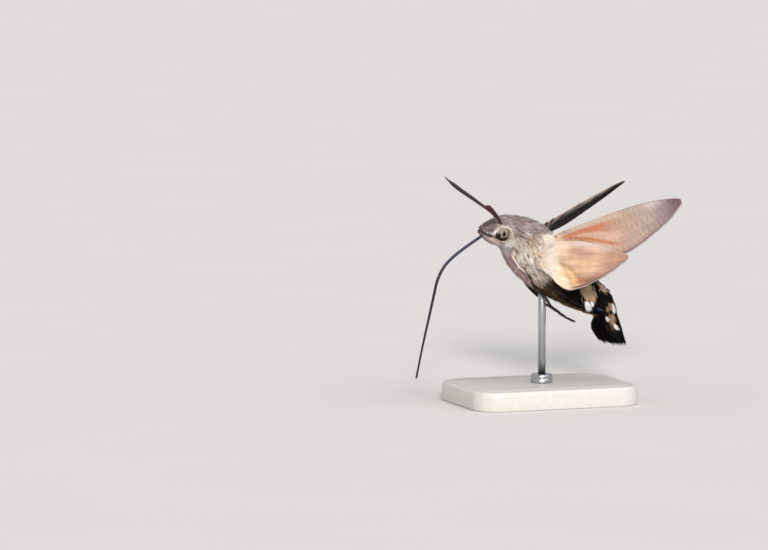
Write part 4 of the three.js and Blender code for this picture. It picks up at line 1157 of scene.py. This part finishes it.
def make_eyes():
    """Large domed compound eyes: grey-taupe over brown, with a dark front spot, a dark lower rim, and a painted
    pseudopupil, the dark spot that in life moves with the viewer.
    """
    for word, side in (("left", 1), ("right", -1)):
        rows, cols = 61, 96
        theta, g = np.meshgrid(np.linspace(0, np.pi, rows)[1:-1], np.linspace(0, 2 * np.pi, cols, endpoint=False), indexing="ij")
        d = np.stack([np.cos(theta), np.sin(theta) * np.cos(g), np.sin(theta) * np.sin(g)], -1).reshape(-1, 3)
        d = np.vstack([d, [1, 0, 0], [-1, 0, 0]])
        facets = 0.004 * (np.sin(d[:, 1] * 95) * np.sin(d[:, 2] * 95))
        p = d * EYE_HALF * [1.02, 1.02, 1.06] * (1 + facets[:, None]) - [0, 0, 0.02]
        p = (p + EYE_AT) * [side, 1, 1]
        n = len(p) - 2
        last = n - cols + np.arange(cols)
        flip = side < 0
        quads = grid_faces(rows - 2, cols, wrap=True, flip=flip)
        tris = [cap_faces(np.arange(cols), n, flip=not flip), cap_faces(last, n + 1, flip=flip)]
        y, z = d[:, 1], d[:, 2]
        c = np.tile(linear("#8a7a70"), (len(p), 1))
        c = mix(c, linear("#8a7c74"), (ease(z, 0.35, 0.85) * 0.6)[:, None])
        c = mix(c, linear("#6b4c3b"), (ease(y - 0.25 * z, 0.15, 0.65) * 0.9)[:, None])
        c = mix(c, linear("#4a3120"), (ease(-z + 0.15 * y, 0.26, 0.60) * 0.9)[:, None])
        rim = np.hypot(y, z)
        c = mix(c, linear("#150a06"), ease(-z + 0.2 * rim**3, 0.46, 0.60)[:, None])
        c = mix(c, linear("#0d0806"), np.exp(-(((y + 0.72) / 0.27) ** 2 + ((z + 0.24) / 0.42) ** 2) ** 2)[:, None])
        halo = np.exp(-(((y + 0.05) / 0.42) ** 2 + ((z - 0.02) / 0.48) ** 2) ** 2)
        c = mix(c, linear("#9b8b80"), (halo * 0.55)[:, None])
        # painted pseudopupil: a dark spot that in life follows the viewer, here fixed in place
        drop = ((y + 0.09) / (0.30 - 0.18 * ease(z, 0.0, 0.55))) ** 2 + ((z - 0.05) / 0.48) ** 2
        c = mix(c, linear("#030202"), np.exp(-drop ** 2)[:, None])
        c = mix(c, linear("#1c110c"), (ease(rim + 0.06 * (y - z), 0.80, 0.93) * 0.9)[:, None])
        piece(f"eye_{word}_lens", p, [quads, tris[0], tris[1]], EYE, "eye", colour=c, replaces=(f"eye_{word}",))


# ----------------------------------------------------- antennae and tongue
HORN = material("horn", 0.42, bump_scale=12000, bump=0.5, grain=0.18, grain_scale=6000, specular=0.2)
TONGUE_HORN = material("tongue_horn", 0.35, bump_scale=12000, bump=0.4, grain=0.12, grain_scale=6000, specular=0.25)


def make_antennae():
    paths = {
        "left": ((1.0, -6.5, 4.75), (2.0, -7.3, 5.6), (4.6, -9.05, 6.9), (7.6, -11.3, 8.35), (9.55, -12.55, 8.85), (10.05, -12.9, 9.15)),
        "right": ((-1.0, -6.3, 5.1), (-1.75, -7.05, 6.5), (-3.9, -8.9, 8.35), (-6.6, -10.85, 10.15), (-8.2, -12.2, 11.55), (-8.55, -12.45, 11.95)),
    }
    for word, path in paths.items():
        line = Line(path)
        steps = 400
        s = np.linspace(0, 1, steps)
        club = 0.42 if word == "left" else 0.33
        body = np.where(s < 0.8, mix(0.19, club, ease(s / 0.8) ** 1.1), mix(club, 0.10, ease((s - 0.8) / 0.17)))
        ring = 0.5 + 0.5 * np.cos(2 * np.pi * s * line.length / 0.24)
        radius = body * (1 - 0.10 * (1 - ring) ** 3)
        hook = s > 0.97
        radius = np.where(hook, np.minimum(radius, 0.10 - 0.07 * (s - 0.97) / 0.03), radius)
        points, quads, tris = tube(line, s, radius, 16)
        share = np.concatenate([np.repeat(s, 16), [0, 1]])
        g = np.concatenate([np.tile(np.linspace(0, 2 * np.pi, 16, endpoint=False), steps), [0, 0]])
        # the left feeler is tinted reddish brown and the right purplish grey, as painted light and shade of one real
        # colour; one side of each is lighter, partly its own paler underside and partly a painted highlight
        c = np.tile(linear("#42180d" if word == "left" else "#35272d"), (len(points), 1))
        c = mix(c, linear("#82422d" if word == "left" else "#665262"), (0.5 * (0.5 + 0.5 * np.cos(g)))[:, None])
        c = mix(c, linear("#8a6d60"), (0.4 * (1 - ease(share, 0.0, 0.10)))[:, None])
        c = mix(c, linear("#1b1213"), (0.7 * ease(share, 0.9, 1.0))[:, None])
        c = c * (1 - 0.35 * (1 - np.concatenate([np.repeat(ring, 16), [1, 1]])) ** 2)[:, None]
        piece(f"antenna_{word}_ringed", points, [quads, tris[0], tris[1]], HORN, "horn", colour=c,
              replaces=(f"antenna_{word}",))


def make_tongue():
    """The tongue in one length: two half tubes side by side, with a groove between and fine rings."""
    path = [np.array(p, float) for p in ((0, -9.6, 3.45), (0, -9.95, 3.22), (0, -13.74, 0.75), (0, -15.63, -0.95), (0, -16.81, -3.05),
                                        (0, -17.45, -5.52), (0, -18.2, -8.7))]
    down = unit(path[-1] - path[-2])
    path.append(path[-1] + down * 4.8)
    path.append(path[-1] + down * 4.8 + [0, 0.12, 0])
    line = Line(path)
    steps, sides = 700, 20
    s = np.linspace(0, 1, steps)
    p, way, side, up = line.at(s)
    across = np.tile([1.0, 0, 0], (steps, 1))
    other = np.cross(way, across)
    g = np.linspace(0, 2 * np.pi, sides, endpoint=False)
    base = mix(0.24, 0.16, ease(s, 0.2, 1.0))
    ring = 1 - 0.03 * (0.5 - 0.5 * np.cos(2 * np.pi * s * line.length / 0.16))
    groove = 1 - 0.22 * np.exp(-(((g - np.pi / 2) / 0.3) ** 2)) - 0.22 * np.exp(-(((g - 3 * np.pi / 2) / 0.3) ** 2))
    r = (base * ring)[:, None] * groove[None]
    points = p[:, None] + (np.cos(g)[None] * r)[..., None] * across[:, None] * 1.1 + (np.sin(g)[None] * r)[..., None] * other[:, None]
    points = points.reshape(-1, 3)
    n = len(points)
    points = np.vstack([points, p[0], p[-1] + way[-1] * 0.12])
    last = n - sides + np.arange(sides)
    share = np.concatenate([np.repeat(s, sides), [0, 1]])
    c = np.tile(linear("#15131a"), (len(points), 1))
    # blue-grey near the base: painted sheen on the black tongue
    c = mix(c, linear("#34344a"), (0.8 * (1 - ease(share, 0.12, 0.42)))[:, None])
    c = mix(c, linear("#3a2c26"), (0.5 * ease(share, 0.6, 1.0))[:, None])
    piece("tongue_ringed", points, [grid_faces(steps, sides, wrap=True), cap_faces(np.arange(sides), n, flip=True), cap_faces(last, n + 1)],
          TONGUE_HORN, "horn", colour=c, replaces=("proboscis_upper", "proboscis_middle", "proboscis_lower"))


# -------------------------------------------------------------------- legs
def off_body(t, turn, clear, side):
    p, _, _, n = body_frame(np.array([t], float), np.array([turn], float))
    q = (p + n * clear)[0]
    return (side * q[0], q[1], q[2])


def make_leg(name, path, joints, shin, seed, cad, slot, dark, light, girth=1.0):
    """A scaled leg: joints are shares where it narrows; spurs and claws stand off it."""
    line = Line(path)
    rng = np.random.default_rng(seed)
    steps, sides = 160, 14
    s = np.linspace(0, 1, steps)
    r = mix(0.25, 0.12, ease(s, 0, 0.9))
    r = (r + 0.05 * np.exp(-((s - shin) / 0.1) ** 2)) * girth
    for j in joints:
        r = r * (1 - 0.32 * np.exp(-((s - j) / 0.012) ** 2))
    points, quads, tris = tube(line, s, r, sides)
    share = np.concatenate([np.repeat(s, sides), [0, 1]])
    fleck = ripple(points, 0.35, seed + 1)
    c = mix(np.tile(linear(dark), (len(points), 1)), linear(light), (ease(fleck, 0.55, 1.0) * 0.55)[:, None])
    shell = Mesh()
    shell.add(points, quads, tris, c)

    def spike(at, reach, lean, turn, wide, code):
        p, way, u, v = line.at(np.array([at]))
        out = unit(np.cos(turn) * u + np.sin(turn) * v)[0]
        aim = unit(out * math.sin(lean) + way[0] * math.cos(lean))
        base = p[0] + out * float(np.interp(at, s, r)) * 0.6
        across = unit(np.cross(aim, out))
        third = np.cross(aim, across)
        g = np.linspace(0, 2 * np.pi, 5, endpoint=False)
        ring = base + (np.cos(g)[:, None] * across + np.sin(g)[:, None] * third) * wide
        ring2 = ring + aim * reach * 0.6 - (ring - base) * 0.35
        pts = np.vstack([ring, ring2, base + aim * reach, base])
        q = grid_faces(2, 5, wrap=True)
        shell.add(pts, q, [cap_faces(np.arange(5, 10), 10), cap_faces(np.arange(5), 11, flip=True)], linear(code))

    for _ in range(170):                                    # scales that stand along the leg
        spike(rng.uniform(0.02, 0.97), rng.uniform(0.16, 0.30), rng.uniform(0.15, 0.5), rng.uniform(0, 2 * np.pi), 0.03,
              light if rng.uniform() < 0.3 else dark)
    for at, turn in ((joints[1] - 0.01, 0.6), (joints[1] - 0.01, 1.5)):
        spike(at, 0.75, 0.45, turn, 0.05, light)
    for turn in (0.4, 2.2):
        spike(0.985, 0.28, 0.5, turn, 0.035, dark)
    shell.make(name, HORN, slot, replaces=(cad,))


def make_legs():
    for word, side in (("left", 1), ("right", -1)):
        k = 0 if side > 0 else 50
        make_leg(f"leg_fore_{word}_scaled",
                 [off_body(*q, side) for q in ((3.4, 140, -0.50), (3.75, 142, -0.42), (4.1, 143.5, -0.12), (4.5, 143.5, -0.02), (4.9, 144, 0.0), (5.3, 145, -0.24))],
                 (0.30, 0.58, 0.72, 0.84), 0.2, 61 + k, f"leg_fore_{word}", "coat_grey", "#d9cdc6", "#fbf6f2", 0.72)
        make_leg(f"leg_mid_{word}_scaled",
                 [off_body(*q, side) for q in ((4.85, 132, -0.42), (5.3, 140, -0.40), (5.75, 150, -0.25), (6.2, 160, 0.15))]
                 + [(side * 1.55, 0.35, -6.35), (side * 1.0, 1.3, -7.55), (side * 0.62, 2.65, -8.5), (side * 0.5, 4.2, -9.6), (side * 0.5, 5.65, -10.35)],
                 (0.22, 0.52, 0.68, 0.79, 0.88), 0.46, 62 + k, f"leg_mid_{word}", "coat_dark", "#191311", "#6d5b4f", 1.22)
        make_leg(f"leg_hind_{word}_scaled",
                 [off_body(*q, side) for q in ((5.9, 120, -0.60), (6.6, 126, -0.42), (7.3, 132, -0.28), (8.1, 137, -0.24), (8.8, 140, -0.20), (9.4, 143, -0.12))],
                 (0.28, 0.60, 0.74, 0.86), 0.45, 63 + k, f"leg_hind_{word}", "coat_dark", "#120d0a", "#3a2b20")


# ------------------------------------------------------------------- stand
PAINT = material("stand_paint", 0.45, bump_scale=4000, bump=0.12, grain=0.04, grain_scale=1200, base=tuple(linear("#c9c6c0")), specular=0.5)
STEEL = material("stand_steel", 0.3, bump_scale=9000, bump=0.25, grain=0.08, grain_scale=6000, base=tuple(linear("#b9bbbd")), metal=1.0,
                 stretch=(1, 1, 0.06))


def make_stand():
    """Base plate with rounded edges, steel collar with a groove, and the rod."""
    x, y, r, high = 10.0, 13.5, 4.0, 3.0
    corner = np.linspace(0, np.pi / 2, 15)
    outline, inward = [], []
    for cx, cy, start in ((x - r, -y + r, -0.5), (x - r, y - r, 0), (-x + r, y - r, 0.5), (-x + r, -y + r, 1.0)):
        g = start * np.pi + corner
        inward.append(np.stack([np.cos(g), np.sin(g)], -1))
        outline.append(inward[-1] * r + [cx, cy])
    outline, inward = np.concatenate(outline), np.concatenate(inward)
    soft = 0.55
    profile = [(0.25, 0.0), (0.07, 0.07), (0.0, 0.25)]
    profile += [(soft * (1 - math.cos(q)), high - soft + soft * math.sin(q)) for q in np.linspace(0, math.pi / 2, 9)]
    profile += [(1.1, high), (1.18, high - 0.07), (1.30, high - 0.07), (1.38, high), (3.5, high)]
    rows = [np.column_stack([outline - inward * d, np.full(len(outline), h - LIFT)]) for d, h in profile]
    points = np.concatenate(rows)
    n, sides = len(points), len(outline)
    points = np.vstack([points, [0, 0, -LIFT], [0, 0, high - LIFT]])
    last = n - sides + np.arange(sides)
    piece("stand_base_plate", points, [grid_faces(len(rows), sides, wrap=True), cap_faces(np.arange(sides), n, flip=True), cap_faces(last, n + 1)],
          PAINT, "stand_paint", replaces=("stand_base",))
    for name, cad, profile, at in (
        ("stand_collar_turned", "stand_collar",
         [(0.62, 3.02), (1.55, 3.02), (1.68, 3.12), (1.70, 3.25), (1.70, 3.62), (1.62, 3.68), (1.62, 3.76), (1.70, 3.82), (1.70, 4.12), (1.64, 4.27),
          (1.50, 4.36), (0.95, 4.40), (0.80, 4.37), (0.66, 4.28), (0.62, 4.1)], 0.0),
        ("stand_rod_turned", "stand_rod", [(0.0, 2.9), (0.60, 2.9), (0.60, 17.6), (0.52, 17.8), (0.0, 17.85)], 0.35),
    ):
        at = 0.35
        g = np.linspace(0, 2 * np.pi, 64, endpoint=False)
        if name.startswith("stand_collar"):
            ring = np.array([[[q * math.cos(w), at + q * math.sin(w), h - LIFT] for w in g] for q, h in profile])
            rows, sides = ring.shape[:2]
            i, j = np.meshgrid(np.arange(rows), np.arange(sides), indexing="ij")
            nxt_i, nxt_j = (i + 1) % rows, (j + 1) % sides
            quads = np.stack([i * sides + j, i * sides + nxt_j, nxt_i * sides + nxt_j, nxt_i * sides + j], -1).reshape(-1, 4)
            piece(name, ring.reshape(-1, 3), quads, STEEL, "stand_steel", replaces=(cad,))
        else:
            inner = profile[1:-1]
            ring = np.array([[[q * math.cos(w), at + q * math.sin(w), h - LIFT] for w in g] for q, h in inner]).reshape(-1, 3)
            n = len(ring)
            points = np.vstack([ring, [0, at, profile[0][1] - LIFT], [0, at, profile[-1][1] - LIFT]])
            piece(name, points, [grid_faces(len(inner), 64, wrap=True), cap_faces(np.arange(64), n, flip=True),
                                 cap_faces(n - 64 + np.arange(64), n + 1)], STEEL, "stand_steel", replaces=(cad,))


# ------------------------------------------------------------------- stage
def make_stage():
    mesh = bpy.data.meshes.new("floor")
    w = 3.0
    mesh.from_pydata([(-w, -w, 0), (w, -w, 0), (w, w, 0), (-w, w, 0)], [], [(0, 1, 2, 3)])
    floor = bpy.data.objects.new("floor", mesh)
    bpy.context.scene.collection.objects.link(floor)
    mesh.materials.append(material("floor_paper", 0.9, grain=0.01, grain_scale=30, base=tuple(linear("#d6d3d0")), specular=0.1))

    world = bpy.data.worlds.new("studio")
    bpy.context.scene.world = world
    world.use_nodes = True
    world.node_tree.nodes["Background"].inputs["Color"].default_value = (0.95, 0.95, 1.0, 1)
    world.node_tree.nodes["Background"].inputs["Strength"].default_value = 0.55

    def sun(name, aim, strength, soft, colour):
        data = bpy.data.lights.new(name, "SUN")
        data.energy, data.angle, data.color = strength, math.radians(soft), colour
        o = bpy.data.objects.new(name, data)
        o.rotation_mode = "QUATERNION"
        o.rotation_quaternion = Vector(aim).to_track_quat("-Z", "Y")
        bpy.context.scene.collection.objects.link(o)

    sun("key", (-0.90, 0.28, -0.34), 3.0, 9, (1.0, 0.96, 0.92))
    sun("fill", (-0.45, -0.35, -0.85), 1.05, 50, (0.97, 0.98, 1.0))

    # the photograph's view: 70 degrees round from the front, 6 above level
    n = np.array([0.9345, -0.3401, 0.1045])
    right, up = np.array([0.3420, 0.9397, 0.0]), np.array([-0.0982, 0.0357, 0.9945])
    target = np.array([0, 0, LIFT]) + right * -24.0 + up * -2.923
    far = 800.0
    camera = bpy.data.cameras.new("camera")
    camera.sensor_width = 36.0
    camera.lens = 36.0 * far / 118.15
    camera.clip_start, camera.clip_end = 0.01, 20
    o = bpy.data.objects.new("camera", camera)
    o.location = (target + n * far) * MM
    o.rotation_mode = "QUATERNION"
    o.rotation_quaternion = Vector(-n).to_track_quat("-Z", "Y")
    bpy.context.scene.collection.objects.link(o)
    bpy.context.scene.camera = o
    bpy.context.scene.view_settings.view_transform = "Standard"


make_stage()
make_skin()
make_coat()
make_wings()
make_eyes()
make_antennae()
make_tongue()
make_legs()
make_stand()
